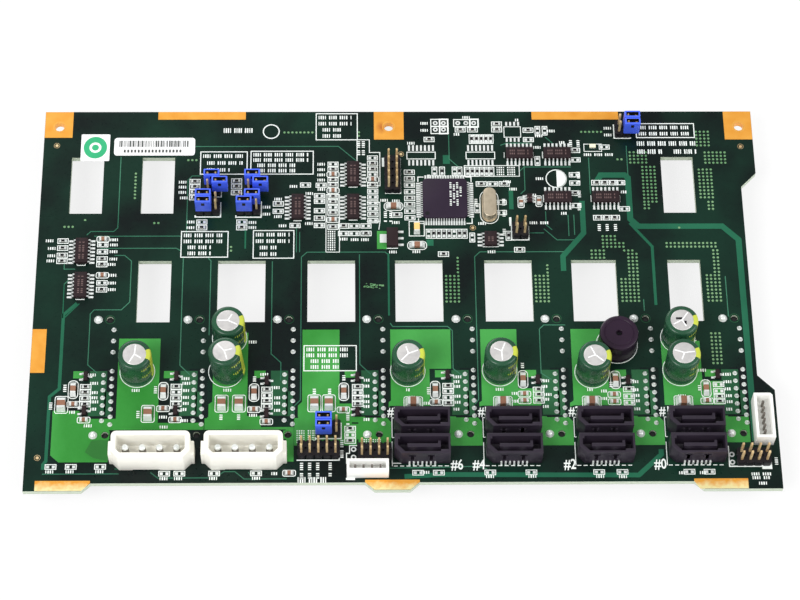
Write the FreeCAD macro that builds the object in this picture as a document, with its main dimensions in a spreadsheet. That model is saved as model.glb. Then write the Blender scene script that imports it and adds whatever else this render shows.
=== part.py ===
import FreeCAD, Part
import math
import os
import re

import Sketcher
from FreeCAD import Placement, Rotation, Vector

# Drive backplane board of a server. A green laminate board lies flat with its components up.
# Eight vertical drive sockets are soldered to its underside, one to a bay, and it rests on them.
#
# The origin is in the middle of the board's outline, at the mating faces of the drive sockets.
# X runs along the row of bays, Y from the near edge (with the feet) to the back edge, Z up.
#
# Every piece is laid out as on a drawing of the board: across from the centre line of its bay,
# and down from the back edge or up from the near edge.

doc = FreeCAD.newDocument("DriveBackplane")

# ---------------------------------------------------------------- driving dimensions

SIZES = {
    # bays and board
    "bay_count": 8,
    "drive_pitch": 27.36,
    "left_margin": 22.5,
    "right_margin": 11.58,
    "board_depth": 129.05,
    "board_thickness": 2.0,
    "foot_length": 2.45,
    "left_foot_width": 17.1,
    "middle_foot_width": 16.2,
    "right_foot_start": 23.4,
    "foot_slope": 2.8,
    "waist_inset": 4.95,
    "waist_start": 22.97,
    "waist_end": 99.1,
    "waist_slope": 4.95,
    "screw_hole": 3.2,
    "screw_inset": 5.7,
    "left_screw": 4.7,
    "right_screw": 4.2,
    "middle_offset": 22.54,
    # ventilation windows
    "window_narrow": 10.2,
    "window_wide": 14.7,
    "window_medium": 13.85,
    "back_window_top": 17.0,
    "back_window_length": 20.3,
    "front_window_top": 54.2,
    "front_window_length": 21.3,
    # drive sockets under the board
    "socket_height": 8.6,
    "socket_length": 43.4,
    "socket_width": 7.2,
    "socket_from_near": 35.05,
    "flange_height": 3.4,
    "flange_corner": 1.6,
    "nose_length": 37.6,
    "nose_width": 5.4,
    "nose_chamfer": 0.6,
    "slot_width": 1.7,
    "slot_depth": 5.6,
    "slot_key": 1.4,
    "key_width": 1.2,
    "data_slot": 10.6,
    "power_slot": 20.6,
    "slot_bridge": 1.6,
    "peg_spacing": 38.8,
    "peg_across": 1.05,
    "peg_hole": 2.2,
    "peg_clearance": 0.1,
    "peg_recess": 0.6,
    # data ports
    "port_width": 16.6,
    "port_length": 6.4,
    "port_height": 7.9,
    "port_from_near": 6.0,
    "port_row_gap": 2.4,
    "port_across": 13.75,
    "port_wall": 1.0,
    "port_thin_wall": 0.6,
    "port_corner": 2.1,
    "port_step": 2.9,
    "port_cavity_depth": 6.0,
    "tongue_left": 3.8,
    "tongue_width": 9.9,
    "tongue_thickness": 1.15,
    "tongue_back": 1.9,
    "tongue_leg": 0.8,
    "tongue_recess": 0.9,
    "latch_bar": 2.1,
    "latch_stem": 1.0,
    "latch_top": 1.7,
    "latch_bar_height": 1.4,
    "latch_first": 5.3,
    "latch_spacing": 5.6,
    "contact_pitch": 1.27,
    "tail_width": 0.5,
    "tail_reach": 0.55,
    "tail_height": 1.8,
    # power inlets
    "inlet_width": 23.35,
    "inlet_length": 8.5,
    "inlet_height": 10.0,
    "inlet_from_near": 4.15,
    "inlet_across": 15.5,
    "inlet_gap": 2.01,
    "inlet_wall": 1.5,
    "inlet_corner": 2.0,
    "inlet_round": 1.6,
    "inlet_floor": 2.4,
    "inlet_rib": 1.0,
    "inlet_rib_length": 4.5,
    "inlet_rib_height": 7.0,
    "inlet_pin_pitch": 5.08,
    "inlet_pin": 2.1,
    "inlet_pin_recess": 2.2,
    "standoff_width": 8.0,
    "standoff_height": 0.4,
    # electrolytic capacitors and buzzer
    "can_diameter": 10.0,
    "can_height": 12.2,
    "can_edge": 0.5,
    "buzzer_diameter": 11.8,
    "buzzer_height": 8.5,
    "buzzer_edge": 0.6,
    "buzzer_port": 1.8,
    "buzzer_across": 8.26,
    "buzzer_from_near": 45.35,
    # chips
    "controller_side": 14.0,
    "controller_height": 1.5,
    "controller_bevel": 0.9,
    "chip_width": 3.9,
    "chip_length": 8.65,
    "short_chip_length": 4.9,
    "chip_height": 1.6,
    "chip_stand": 0.1,
    "crystal_length": 11.0,
    "crystal_width": 4.7,
    "crystal_height": 3.5,
    "tiny_chip_width": 1.6,
    "tiny_chip_length": 2.9,
    "transistor_width": 1.3,
    "transistor_length": 2.9,
    "transistor_height": 1.05,
    "regulator_width": 3.6,
    "regulator_length": 6.5,
    "regulator_height": 1.65,
    "regulator_pitch": 2.3,
    "regulator_tab": 3.0,
    "regulator_tab_reach": 2.1,
    "regulator_lead_reach": 1.7,
    "regulator_lead_width": 0.7,
    "regulator_lead_height": 0.3,
    # chip resistors and capacitors, lamp
    "resistor_length": 1.6,
    "resistor_width": 0.85,
    "resistor_height": 0.5,
    "small_capacitor_length": 2.0,
    "small_capacitor_width": 1.2,
    "small_capacitor_height": 0.9,
    "long_capacitor_length": 3.2,
    "long_capacitor_width": 1.65,
    "long_capacitor_height": 1.3,
    "large_capacitor_length": 3.3,
    "large_capacitor_width": 2.5,
    "large_capacitor_height": 1.9,
    "tantalum_length": 3.4,
    "tantalum_width": 1.8,
    "tantalum_height": 1.7,
    "lamp_length": 2.0,
    "lamp_width": 1.25,
    "lamp_height": 0.8,
    # pin headers and jumper shunts
    "header_pitch": 2.54,
    "header_base": 2.5,
    "header_pin": 0.64,
    "header_height": 8.4,
    "lamp_header_gap": 3.04,
    "shunt_margin": 0.14,
    "shunt_height": 6.1,
    "shunt_bore": 1.0,
    "shunt_slot": 1.5,
    "shunt_notch": 1.0,
    "shunt_notch_height": 2.4,
    # white connectors
    "wafer_width": 12.5,
    "wafer_length": 3.9,
    "wafer_height": 5.8,
    "wafer_wall": 0.8,
    "wafer_floor": 1.6,
    "wafer_pitch": 2.5,
    "side_connector_width": 5.7,
    "side_connector_length": 14.6,
    "side_connector_height": 6.0,
    "side_connector_pitch": 1.9,
    "side_connector_corner": 0.7,
    # stickers
    "sticker_thickness": 0.1,
    "square_sticker_width": 9.1,
    "square_sticker_length": 9.8,
    "long_sticker_width": 25.6,
    "long_sticker_length": 6.5,
}

sheet = doc.addObject("Spreadsheet::Sheet", "Sizes")
for row, (name, value) in enumerate(SIZES.items(), start=1):
    sheet.set(f"A{row}", name.replace("_", " "))
    sheet.set(f"B{row}", str(value))
    sheet.setAlias(f"B{row}", name)

# Sizes that follow from the others.
DERIVED = {
    "board_width": "=left_margin + (bay_count - 1) * drive_pitch + right_margin",
    "outline_depth": "=board_depth + foot_length",
    "port_pair_pitch": "=port_length + port_row_gap",
    "inlet_spacing": "=inlet_width + 2 * inlet_rib + inlet_gap",
}
for row, (name, formula) in enumerate(DERIVED.items(), start=len(SIZES) + 1):
    sheet.set(f"A{row}", name.replace("_", " "))
    sheet.set(f"B{row}", formula)
    sheet.setAlias(f"B{row}", name)
doc.recompute()


def size(name):
    """A size as the sheet holds it."""
    return float(getattr(sheet, name))


def cells(text):
    """An expression in plain size names, pointed at the sheet's cells."""
    return re.sub(r"[a-z][a-z_]+", lambda word: f"Sizes.{word.group()}", text)


def bind(item, **expressions):
    """Ties an object's properties to the sheet."""
    for path, text in expressions.items():
        item.setExpression(path.replace("__", "."), cells(text))


def bay_line(bay):
    """How far right of the board's left edge a bay's centre line lies. The first bay is 1."""
    return size("left_margin") + (bay - 1) * size("drive_pitch")


def bay_text(bay):
    """The same distance as an expression."""
    return f"left_margin + {bay - 1} * drive_pitch"


# ---------------------------------------------------------------- sketches and features

def origin_plane(body, role):
    """One of a body's own origin planes."""
    return next(feature for feature in body.Origin.OriginFeatures if feature.Role == role)


def new_body(label):
    """A named body that stands at the board's back left corner until it is placed."""
    body = doc.addObject("PartDesign::Body", label)
    body.Label = label
    return body


def place(body, across, down, height):
    """Ties a body's place to the sheet, from the board's back left corner and the sockets' faces."""
    body.setExpression("Placement.Base.x", cells(f"({across}) - board_width / 2"))
    body.setExpression("Placement.Base.y", cells(f"outline_depth / 2 - ({down})"))
    body.setExpression("Placement.Base.z", cells(height))


def new_sketch(body, name, lift="", plane="XY_Plane"):
    """A sketch on a body's own plane, lifted along the plane's normal."""
    sketch = body.newObject("Sketcher::SketchObject", name)
    sketch.AttachmentSupport = (origin_plane(body, plane), [""])
    sketch.MapMode = "FlatFace"
    if lift:
        sketch.setExpression("AttachmentOffset.Base.z", cells(lift))
    return sketch


def pin_point(sketch, geometry, end, across, up):
    """Ties one end of a line, or a circle's centre, to a place given by two expressions."""
    for kind, text in (("DistanceX", across), ("DistanceY", up)):
        value = float(sketch.evalExpression(cells(text)))
        index = sketch.addConstraint(Sketcher.Constraint(kind, geometry, end, value))
        sketch.setExpression(f"Constraints[{index}]", cells(text))


def draw_loop(sketch, corners):
    """A closed outline of straight edges, each corner given by two expressions."""
    points = []
    for across, up in corners:
        x = float(sketch.evalExpression(cells(across)))
        y = float(sketch.evalExpression(cells(up)))
        points.append(Vector(x, y, 0))
    first = sketch.GeometryCount
    for index, point in enumerate(points):
        sketch.addGeometry(Part.LineSegment(point, points[(index + 1) % len(points)]))
    for index in range(len(points)):
        following = first + (index + 1) % len(points)
        sketch.addConstraint(Sketcher.Constraint("Coincident", first + index, 2, following, 1))
        pin_point(sketch, first + index, 1, *corners[index])


def draw_box(sketch, left, bottom, width, length):
    """A rectangle from its lower left corner."""
    right = f"({left}) + ({width})"
    top = f"({bottom}) + ({length})"
    draw_loop(sketch, [(left, bottom), (right, bottom), (right, top), (left, top)])


def draw_polygon(sketch, across, up, radius, sides):
    """An even polygon about a centre, its corners on a circle of the given radius."""
    corners = []
    for index in range(sides):
        angle = 2 * math.pi * (index + 0.5) / sides
        corners.append((f"{across} + {radius} * {math.cos(angle):.6f}",
                        f"{up} + {radius} * {math.sin(angle):.6f}"))
    draw_loop(sketch, corners)


def draw_circle(sketch, across, up, diameter):
    """A circle tied at its centre and diameter."""
    x = float(sketch.evalExpression(cells(across)))
    y = float(sketch.evalExpression(cells(up)))
    radius = float(sketch.evalExpression(cells(diameter))) / 2
    index = sketch.addGeometry(Part.Circle(Vector(x, y, 0), Vector(0, 0, 1), radius))
    pin_point(sketch, index, 3, across, up)
    tie = sketch.addConstraint(Sketcher.Constraint("Diameter", index, 2 * radius))
    sketch.setExpression(f"Constraints[{tie}]", cells(diameter))


def pad(body, sketch, length, down=False):
    """Adds material from a sketch, up the plane's normal or down from it."""
    feature = body.newObject("PartDesign::Pad", f"{sketch.Name}_pad")
    feature.Profile = sketch
    feature.setExpression("Length", cells(length))
    feature.Reversed = down
    sketch.Visibility = False
    return feature


removals = []


def pocket(body, sketch, length, up=False):
    """Cuts material from a sketch, against the plane's normal or along it."""
    before = body.Tip
    feature = body.newObject("PartDesign::Pocket", f"{sketch.Name}_cut")
    feature.Profile = sketch
    feature.setExpression("Length", cells(length))
    feature.Reversed = up
    sketch.Visibility = False
    removals.append((before, feature))
    return feature


# ---------------------------------------------------------------- circuit board

def circuit_board():
    """The laminate: waisted right edge, three feet, ten windows, screw holes and peg holes."""
    body = new_body("circuit_board")
    place(body, "0", "0", "socket_height")

    near = "0 - board_depth"
    foot = "0 - outline_depth"
    middle = f"{bay_text(5)} - middle_offset"
    outline = new_sketch(body, "board_outline")
    draw_loop(outline, [
        ("0", "0"),
        ("0", foot),
        ("left_foot_width", foot),
        ("left_foot_width + foot_slope", near),
        (f"{middle} - middle_foot_width / 2", near),
        (f"{middle} - middle_foot_width / 2 + foot_slope", foot),
        (f"{middle} + middle_foot_width / 2 - foot_slope", foot),
        (f"{middle} + middle_foot_width / 2", near),
        ("board_width - right_foot_start - foot_slope", near),
        ("board_width - right_foot_start", foot),
        ("board_width", foot),
        ("board_width", "0 - waist_end"),
        ("board_width - waist_inset", "waist_slope - waist_end"),
        ("board_width - waist_inset", "0 - waist_start - waist_slope"),
        ("board_width", "0 - waist_start"),
        ("board_width", "0"),
    ])
    pad(body, outline, "board_thickness")

    windows = new_sketch(body, "windows")
    back_row = [(1, "0 - 8.25"), (1, "14.1"), (7, "14.1")]
    for bay, offset in back_row:
        left = f"{bay_text(bay)} + {offset} - window_narrow / 2"
        top = "0 - back_window_top - back_window_length"
        draw_box(windows, left, top, "window_narrow", "back_window_length")
    front_row = [
        (1, 14.1, "window_narrow"),
        (2, 13.6, "window_wide"),
        (3, 13.95, "window_wide"),
        (4, 13.7, "window_wide"),
        (5, 14.05, "window_wide"),
        (6, 13.3, "window_medium"),
        (7, 14.05, "window_narrow"),
    ]
    for bay, offset, width in front_row:
        left = f"{bay_text(bay)} + {offset} - {width} / 2"
        top = "0 - front_window_top - front_window_length"
        draw_box(windows, left, top, width, "front_window_length")
    pocket(body, windows, "board_thickness", up=True)

    screws = new_sketch(body, "screw_holes")
    draw_circle(screws, "left_screw", "0 - screw_inset", "screw_hole")
    draw_circle(screws, middle, "0 - screw_inset", "screw_hole")
    draw_circle(screws, "board_width - right_screw", "0 - screw_inset", "screw_hole")
    pocket(body, screws, "board_thickness", up=True)

    pegs = new_sketch(body, "peg_holes")
    for side in ("+", "-"):
        along = f"socket_from_near - board_depth {side} peg_spacing / 2"
        draw_polygon(pegs, "left_margin + peg_across", along, "peg_hole / 2", 8)
    first = pocket(body, pegs, "board_thickness", up=True)
    row = body.newObject("PartDesign::LinearPattern", "peg_hole_row")
    row.Originals = [first]
    row.Direction = (origin_plane(body, "X_Axis"), [""])
    row.setExpression("Length", cells("(bay_count - 1) * drive_pitch"))
    row.setExpression("Occurrences", cells("bay_count"))
    removals.append((first, row))
    body.Tip = row
    return body


# ---------------------------------------------------------------- drive sockets

def drive_socket(bay):
    """A vertical drive socket: flange on the board, nose with two keyed slots, two pegs."""
    body = new_body(f"drive_socket_{bay}")
    place(body, bay_text(bay), "board_depth - socket_from_near", "socket_height")
    half, side, corner = "socket_length / 2", "socket_width / 2", "flange_corner"

    flange = new_sketch(body, f"flange_{bay}")
    draw_loop(flange, [
        (f"0 - {side}", f"{corner} - {half}"),
        (f"{corner} - {side}", f"0 - {half}"),
        (f"{side} - {corner}", f"0 - {half}"),
        (side, f"{corner} - {half}"),
        (side, f"{half} - {corner}"),
        (f"{side} - {corner}", half),
        (f"{corner} - {side}", half),
        (f"0 - {side}", f"{half} - {corner}"),
    ])
    pad(body, flange, "flange_height", down=True)

    nose = new_sketch(body, f"nose_{bay}")
    draw_box(nose, "0 - nose_width / 2", "0 - nose_length / 2", "nose_width", "nose_length")
    block = pad(body, nose, "socket_height", down=True)
    doc.recompute()
    face = min(block.Shape.Faces, key=lambda item: item.CenterOfMass.z)
    rim = []
    for number, edge in enumerate(block.Shape.Edges, start=1):
        if any(edge.isSame(other) for other in face.Edges):
            rim.append(f"Edge{number}")
    lead_in = body.newObject("PartDesign::Chamfer", f"lead_in_{bay}")
    lead_in.Base = (block, rim)
    lead_in.setExpression("Size", cells("nose_chamfer"))

    slots = new_sketch(body, f"slots_{bay}", lift="0 - socket_height")
    start = "0 - (data_slot + slot_bridge + power_slot) / 2"
    wall = "slot_width / 2"
    for low, length in ((start, "power_slot"), (f"{start} + power_slot + slot_bridge", "data_slot")):
        high = f"{low} + {length}"
        draw_loop(slots, [
            (f"0 - {wall}", low),
            (wall, low),
            (wall, high),
            (f"0 - {wall} - slot_key", high),
            (f"0 - {wall} - slot_key", f"{high} - key_width"),
            (f"0 - {wall}", f"{high} - key_width"),
        ])
    pocket(body, slots, "slot_depth", up=True)

    pegs = new_sketch(body, f"pegs_{bay}")
    for end in ("+", "-"):
        reach = "(peg_hole / 2 - peg_clearance)"
        draw_polygon(pegs, "peg_across", f"0 {end} peg_spacing / 2", reach, 8)
    pad(body, pegs, "board_thickness - peg_recess")
    return body


# ---------------------------------------------------------------- data ports

def data_port(number, bay, row):
    """An upright seven-pin data port. Row 0 is the near one of a bay's pair, row 1 the far one."""
    body = new_body(f"data_port_{number}")
    down = f"board_depth - port_from_near - port_length - {row} * port_pair_pitch"
    left = f"{bay_text(bay)} + port_across - port_width / 2"
    place(body, left, down, "socket_height + board_thickness")
    near = "0 - port_length"

    shell = new_sketch(body, f"shell_{number}")
    draw_loop(shell, [
        ("0", "0"),
        ("0", f"{near} + port_corner"),
        ("port_corner", near),
        ("port_width", near),
        ("port_width", "0"),
    ])
    pad(body, shell, "port_height")

    # The cavity narrows by steps at its left and right ends, and leaves the tongue standing.
    cavity = new_sketch(body, f"cavity_{number}", lift="port_height")
    left, right = "port_wall", "port_width - port_thin_wall"
    draw_loop(cavity, [
        (f"{left} + port_thin_wall", "0 - port_wall"),
        (f"{left} + port_thin_wall", "0 - 1.8 * port_wall"),
        (left, "0 - 1.8 * port_wall"),
        (left, f"{near} + port_corner + port_thin_wall"),
        (f"{left} + port_corner", f"{near} + port_thin_wall"),
        (f"{right} - port_step + port_thin_wall", f"{near} + port_thin_wall"),
        (f"{right} - port_step + port_thin_wall", f"{near} + 2 * port_thin_wall"),
        (right, f"{near} + 2 * port_thin_wall"),
        (right, "0 - port_wall"),
    ])
    tongue = [
        ("tongue_left", "0 - port_wall - tongue_back"),
        ("tongue_left", "0 - port_wall - tongue_back - tongue_thickness"),
        ("tongue_left + tongue_width", "0 - port_wall - tongue_back - tongue_thickness"),
        ("tongue_left + tongue_width", "0 - 2 * port_wall"),
        ("tongue_left + tongue_width - tongue_leg", "0 - 2 * port_wall"),
        ("tongue_left + tongue_width - tongue_leg", "0 - port_wall - tongue_back"),
    ]
    draw_loop(cavity, tongue)
    pocket(body, cavity, "port_cavity_depth")
    trim = new_sketch(body, f"tongue_trim_{number}", lift="port_height")
    draw_loop(trim, tongue)
    pocket(body, trim, "tongue_recess")

    # Two T-shaped latch windows go through the near wall.
    latch = new_sketch(body, f"latch_{number}", lift="port_length", plane="XZ_Plane")
    for step in (0, 1):
        middle = f"latch_first + {step} * latch_spacing"
        bar = "port_height - latch_top - latch_bar_height"
        draw_loop(latch, [
            (f"{middle} - latch_bar / 2", "port_height - latch_top"),
            (f"{middle} - latch_bar / 2", bar),
            (f"{middle} - latch_stem / 2", bar),
            (f"{middle} - latch_stem / 2", "tail_height + 0.2"),
            (f"{middle} + latch_stem / 2", "tail_height + 0.2"),
            (f"{middle} + latch_stem / 2", bar),
            (f"{middle} + latch_bar / 2", bar),
            (f"{middle} + latch_bar / 2", "port_height - latch_top"),
        ])
    pocket(body, latch, "port_thin_wall")
    return body


# ---------------------------------------------------------------- power inlets

def power_inlet(side, across):
    """An upright four-pin power inlet: D-shaped tub with ribs at its ends."""
    body = new_body(f"power_inlet_{side}")
    place(body, across, "board_depth - inlet_from_near - inlet_length",
          "socket_height + board_thickness")
    half, near, corner = "inlet_width / 2", "0 - inlet_length", "inlet_corner"

    tub = new_sketch(body, f"tub_{side}")
    draw_loop(tub, [
        (f"0 - {half}", "0"),
        (f"0 - {half}", f"{near} + {corner}"),
        (f"{corner} - {half}", near),
        (f"{half} - {corner}", near),
        (half, f"{near} + {corner}"),
        (half, "0"),
    ])
    block = pad(body, tub, "inlet_height")
    doc.recompute()
    corners = []
    for number, edge in enumerate(block.Shape.Edges, start=1):
        upright = abs(edge.Vertexes[0].X - edge.Vertexes[-1].X) < 0.001
        at_back = all(abs(vertex.Y) < 0.001 for vertex in edge.Vertexes)
        if upright and at_back:
            corners.append(f"Edge{number}")
    rounded = body.newObject("PartDesign::Fillet", f"back_corners_{side}")
    rounded.Base = (block, corners)
    rounded.setExpression("Radius", cells("inlet_round"))

    ribs = new_sketch(body, f"ribs_{side}")
    low = f"{near} + {corner}"
    reach = "inlet_width + 2 * inlet_rib"
    draw_box(ribs, f"0 - {half} - inlet_rib", low, reach, "inlet_rib_length")
    pad(body, ribs, "inlet_rib_height")

    cavity = new_sketch(body, f"hollow_{side}", lift="inlet_height")
    wall = "inlet_wall"
    draw_loop(cavity, [
        (f"{wall} - {half}", f"0 - {wall}"),
        (f"{wall} - {half}", f"{near} + {corner} + {wall} / 2"),
        (f"{wall} / 2 + {corner} - {half}", f"{near} + {wall}"),
        (f"{half} - {corner} - {wall} / 2", f"{near} + {wall}"),
        (f"{half} - {wall}", f"{near} + {corner} + {wall} / 2"),
        (f"{half} - {wall}", f"0 - {wall}"),
    ])
    pocket(body, cavity, "inlet_height - inlet_floor")

    gap = new_sketch(body, f"standoff_{side}")
    draw_box(gap, "0 - 0.7 * standoff_width", near, "standoff_width", "inlet_length")
    pocket(body, gap, "standoff_height", up=True)
    return body


# ---------------------------------------------------------------- round components

def turned(label, outline):
    """A body turned about its upright axis from half an outline of corners."""
    body = new_body(label)
    half = new_sketch(body, f"{label}_half", plane="XZ_Plane")
    draw_loop(half, outline)
    spin = body.newObject("PartDesign::Revolution", f"{label}_turn")
    spin.Profile = half
    spin.ReferenceAxis = (half, ["V_Axis"])
    spin.Angle = 360
    half.Visibility = False
    return body


def capacitor(number, bay, across, down, lean=0, toward=0):
    """An electrolytic capacitor. A leaning one tips about its base and stands on its rim."""
    body = turned(f"capacitor_{number}", [
        ("0", "0"),
        ("can_diameter / 2", "0"),
        ("can_diameter / 2", "can_height - can_edge"),
        ("can_diameter / 2 - can_edge", "can_height"),
        ("0", "can_height"),
    ])
    axis = Rotation(Vector(0, 0, 1), toward).multVec(Vector(0, 1, 0))
    body.Placement = Placement(Vector(), Rotation(axis, lean))
    lift = f"can_diameter / 2 * {math.sin(math.radians(lean)):.6f}"
    place(body, f"{bay_text(bay)} + {across}", down, f"socket_height + board_thickness + {lift}")
    return body


def buzzer():
    """A round buzzer with a sound port in the middle of its top."""
    body = turned("buzzer", [
        ("buzzer_port / 2", "0"),
        ("buzzer_diameter / 2", "0"),
        ("buzzer_diameter / 2", "buzzer_height - buzzer_edge"),
        ("buzzer_diameter / 2 - buzzer_edge", "buzzer_height"),
        ("buzzer_port / 2", "buzzer_height"),
    ])
    place(body, f"{bay_text(7)} - buzzer_across", "board_depth - buzzer_from_near",
          "socket_height + board_thickness")
    return body


# ---------------------------------------------------------------- groups of equal small parts

def master_box(label, length, width, height, stand="0"):
    """The pattern of a plain moulded or pressed piece, centred on its foot."""
    piece = doc.addObject("Part::Box", label)
    bind(piece, Length=length, Width=width, Height=height)
    bind(piece, Placement__Base__x=f"0 - ({length}) / 2", Placement__Base__y=f"0 - ({width}) / 2",
         Placement__Base__z=stand)
    return piece


def board_frame():
    """The board's back left corner on its upper face, from which small parts are laid out."""
    height = size("socket_height") + size("board_thickness")
    return Placement(Vector(-size("board_width") / 2, size("outline_depth") / 2, height), Rotation())


def spot(bay, across, down, lift=0):
    """A place on the upper face, down from the back edge. A negative down counts up from the near edge."""
    depth = down if down > 0 else size("board_depth") + down
    return Vector(bay_line(bay) + across, -depth, lift)


def group(label, solids):
    """One node of separate solids, laid out from the board's back left corner."""
    node = doc.addObject("Part::Feature", label)
    node.Label = label
    node.Shape = Part.makeCompound(solids)
    node.Placement = board_frame()
    return node


def copy_at(master, where, turn=0):
    """A copy of a pattern piece, turned about the upright axis and set at its place."""
    shape = master.Shape.copy()
    move = Placement(where, Rotation(Vector(0, 0, 1), turn))
    shape.Placement = move.multiply(master.Placement)
    return shape


def flat_box(corner_a, corner_b):
    """A box between two opposite corners."""
    low = Vector(*[min(a, b) for a, b in zip(corner_a, corner_b)])
    span = Vector(*[abs(a - b) for a, b in zip(corner_a, corner_b)])
    return Part.makeBox(span.x, span.y, span.z, low)


# ---------------------------------------------------------------- the model

board = circuit_board()
sockets = [drive_socket(bay) for bay in range(1, int(size("bay_count")) + 1)]

ports = []
for bay in (4, 5, 6, 7):
    for row in (0, 1):
        ports.append(data_port(len(ports) + 1, bay, row))

inlets = [
    power_inlet("left", f"{bay_text(1)} + inlet_across"),
    power_inlet("right", f"{bay_text(1)} + inlet_across + inlet_spacing"),
]

capacitors = [
    capacitor(1, 1, 10.0, "board_depth - 36.7"),
    capacitor(2, 2, 10.34, "board_depth - 36.7", lean=6, toward=135),
    capacitor(3, 2, 10.34, "board_depth - 47.95"),
    capacitor(4, 4, 9.82, "board_depth - 36.7"),
    capacitor(5, 5, 10.36, "board_depth - 36.7", lean=3, toward=90),
    capacitor(6, 6, 11.1, "board_depth - 36.05"),
    capacitor(7, 7, 10.54, "board_depth - 36.7"),
    capacitor(8, 7, 10.54, "board_depth - 47.75"),
]
sounder = buzzer()
doc.recompute()

# Port contacts: seven tinned tails along the foot of each port's near wall.
tails = []
for bay in (4, 5, 6, 7):
    for row in (0, 1):
        front = -size("port_from_near") - row * size("port_pair_pitch")
        for index in range(7):
            along = size("port_across") + (index - 3) * size("contact_pitch")
            middle = spot(bay, along, front)
            half = size("tail_width") / 2
            near = middle.y - min(size("tail_reach"), size("port_row_gap"))
            tails.append(flat_box((middle.x - half, middle.y, 0),
                                  (middle.x + half, near, size("tail_height"))))
group("port_contacts", tails)

# Inlet pins stand on the floor of each tub.
inlet_pin = doc.addObject("Part::Prism", "inlet_pin")
inlet_pin.Polygon = 8
bind(inlet_pin, Circumradius="inlet_pin / 2",
     Height="inlet_height - inlet_floor - inlet_pin_recess", Placement__Base__z="inlet_floor")
doc.recompute()
pins = []
for inlet in (0, 1):
    for index in range(4):
        across = size("inlet_across") + inlet * size("inlet_spacing")
        across += (index - 1.5) * size("inlet_pin_pitch")
        down = -size("inlet_from_near") - size("inlet_length") / 2
        pins.append(copy_at(inlet_pin, spot(1, across, down)))
group("power_inlet_pins", pins)

# Controller: a square flat package with cut corners.
chip_middle = spot(5, -5.1, 32.65)
side, stand, tall = size("controller_side"), size("chip_stand"), size("controller_height")
bevel = size("controller_bevel")
package = Part.makeBox(side, side, tall, chip_middle + Vector(-side / 2, -side / 2, stand))
uprights = [edge for edge in package.Edges if edge.BoundBox.ZLength > 0.9 * tall]
group("controller_chip", [package.makeChamfer(bevel, uprights)])

# Logic chips: long side down the board (turn 0) or across it (turn 90).
LONG_CHIPS = [
    (1, -8.7, 51.0, 0),
    (1, -8.5, 63.0, 0),
    (3, 3.4, 35.4, 0),
    (4, -6.6, 23.5, 0),
    (4, -6.6, 35.4, 0),
    (6, -8.5, 16.0, 90),
    (6, 3.5, 16.0, 90),
    (6, 3.1, 32.1, 90),
    (7, -9.1, 32.1, 90),
]
body_height = "chip_height - chip_stand"
long_chip = master_box("long_chip", "chip_width", "chip_length", body_height, "chip_stand")
short_chip = master_box("short_chip", "chip_width", "short_chip_length", body_height, "chip_stand")
tiny_chip = master_box("tiny_chip", "tiny_chip_width", "tiny_chip_length", "transistor_height", "chip_stand")
doc.recompute()
chips = [copy_at(long_chip, spot(bay, across, down), turn) for bay, across, down, turn in LONG_CHIPS]
chips.append(copy_at(short_chip, spot(5, 8.9, 47.0)))
chips.append(copy_at(tiny_chip, spot(6, -5.8, 32.3)))
group("logic_chips", chips)

# Crystal: a long can with rounded ends.
can_wide, can_long = size("crystal_width"), size("crystal_length")
can = Part.makeBox(can_wide, can_long, size("crystal_height"))
can.translate(spot(5, 8.8, 35.1) - Vector(can_wide / 2, can_long / 2, 0))
ends = [edge for edge in can.Edges if edge.BoundBox.ZLength > 1]
group("crystal", [can.makeFillet(can_wide * 0.48, ends)])

# Regulator: body, a tab on its left and three leads on its right.
where = spot(4, 5.6, 46.45)
wide, long = size("regulator_width"), size("regulator_length")
group("regulator", [flat_box(
    (where.x - wide / 2, where.y - long / 2, 0.1),
    (where.x + wide / 2, where.y + long / 2, size("regulator_height")))])
half_tab, sheet_metal = size("regulator_tab") / 2, size("regulator_lead_height")
left, right = where.x - wide / 2, where.x + wide / 2
metal = [flat_box((left, where.y - half_tab, 0),
                  (left - size("regulator_tab_reach"), where.y + half_tab, sheet_metal))]
for index in (-1, 0, 1):
    along = where.y + index * size("regulator_pitch")
    half = size("regulator_lead_width") / 2
    metal.append(flat_box((right, along - half, 0),
                          (right + size("regulator_lead_reach"), along + half, sheet_metal)))
group("regulator_leads", metal)

# Transistors: one or two in each bay's column of small parts.
transistor = master_box("transistor", "transistor_width", "transistor_length", "transistor_height")
doc.recompute()
TRANSISTORS = [
    (1, -35.05), (2, -35.05), (3, -33.5), (4, -34.4), (5, -35.15), (6, -33.5), (7, -33.3), (8, -35.15),
    (1, -23.6), (2, -23.6), (3, -22.6), (4, -23.0),
]
group("transistors", [copy_at(transistor, spot(bay, -5.5, down)) for bay, down in TRANSISTORS])

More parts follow.
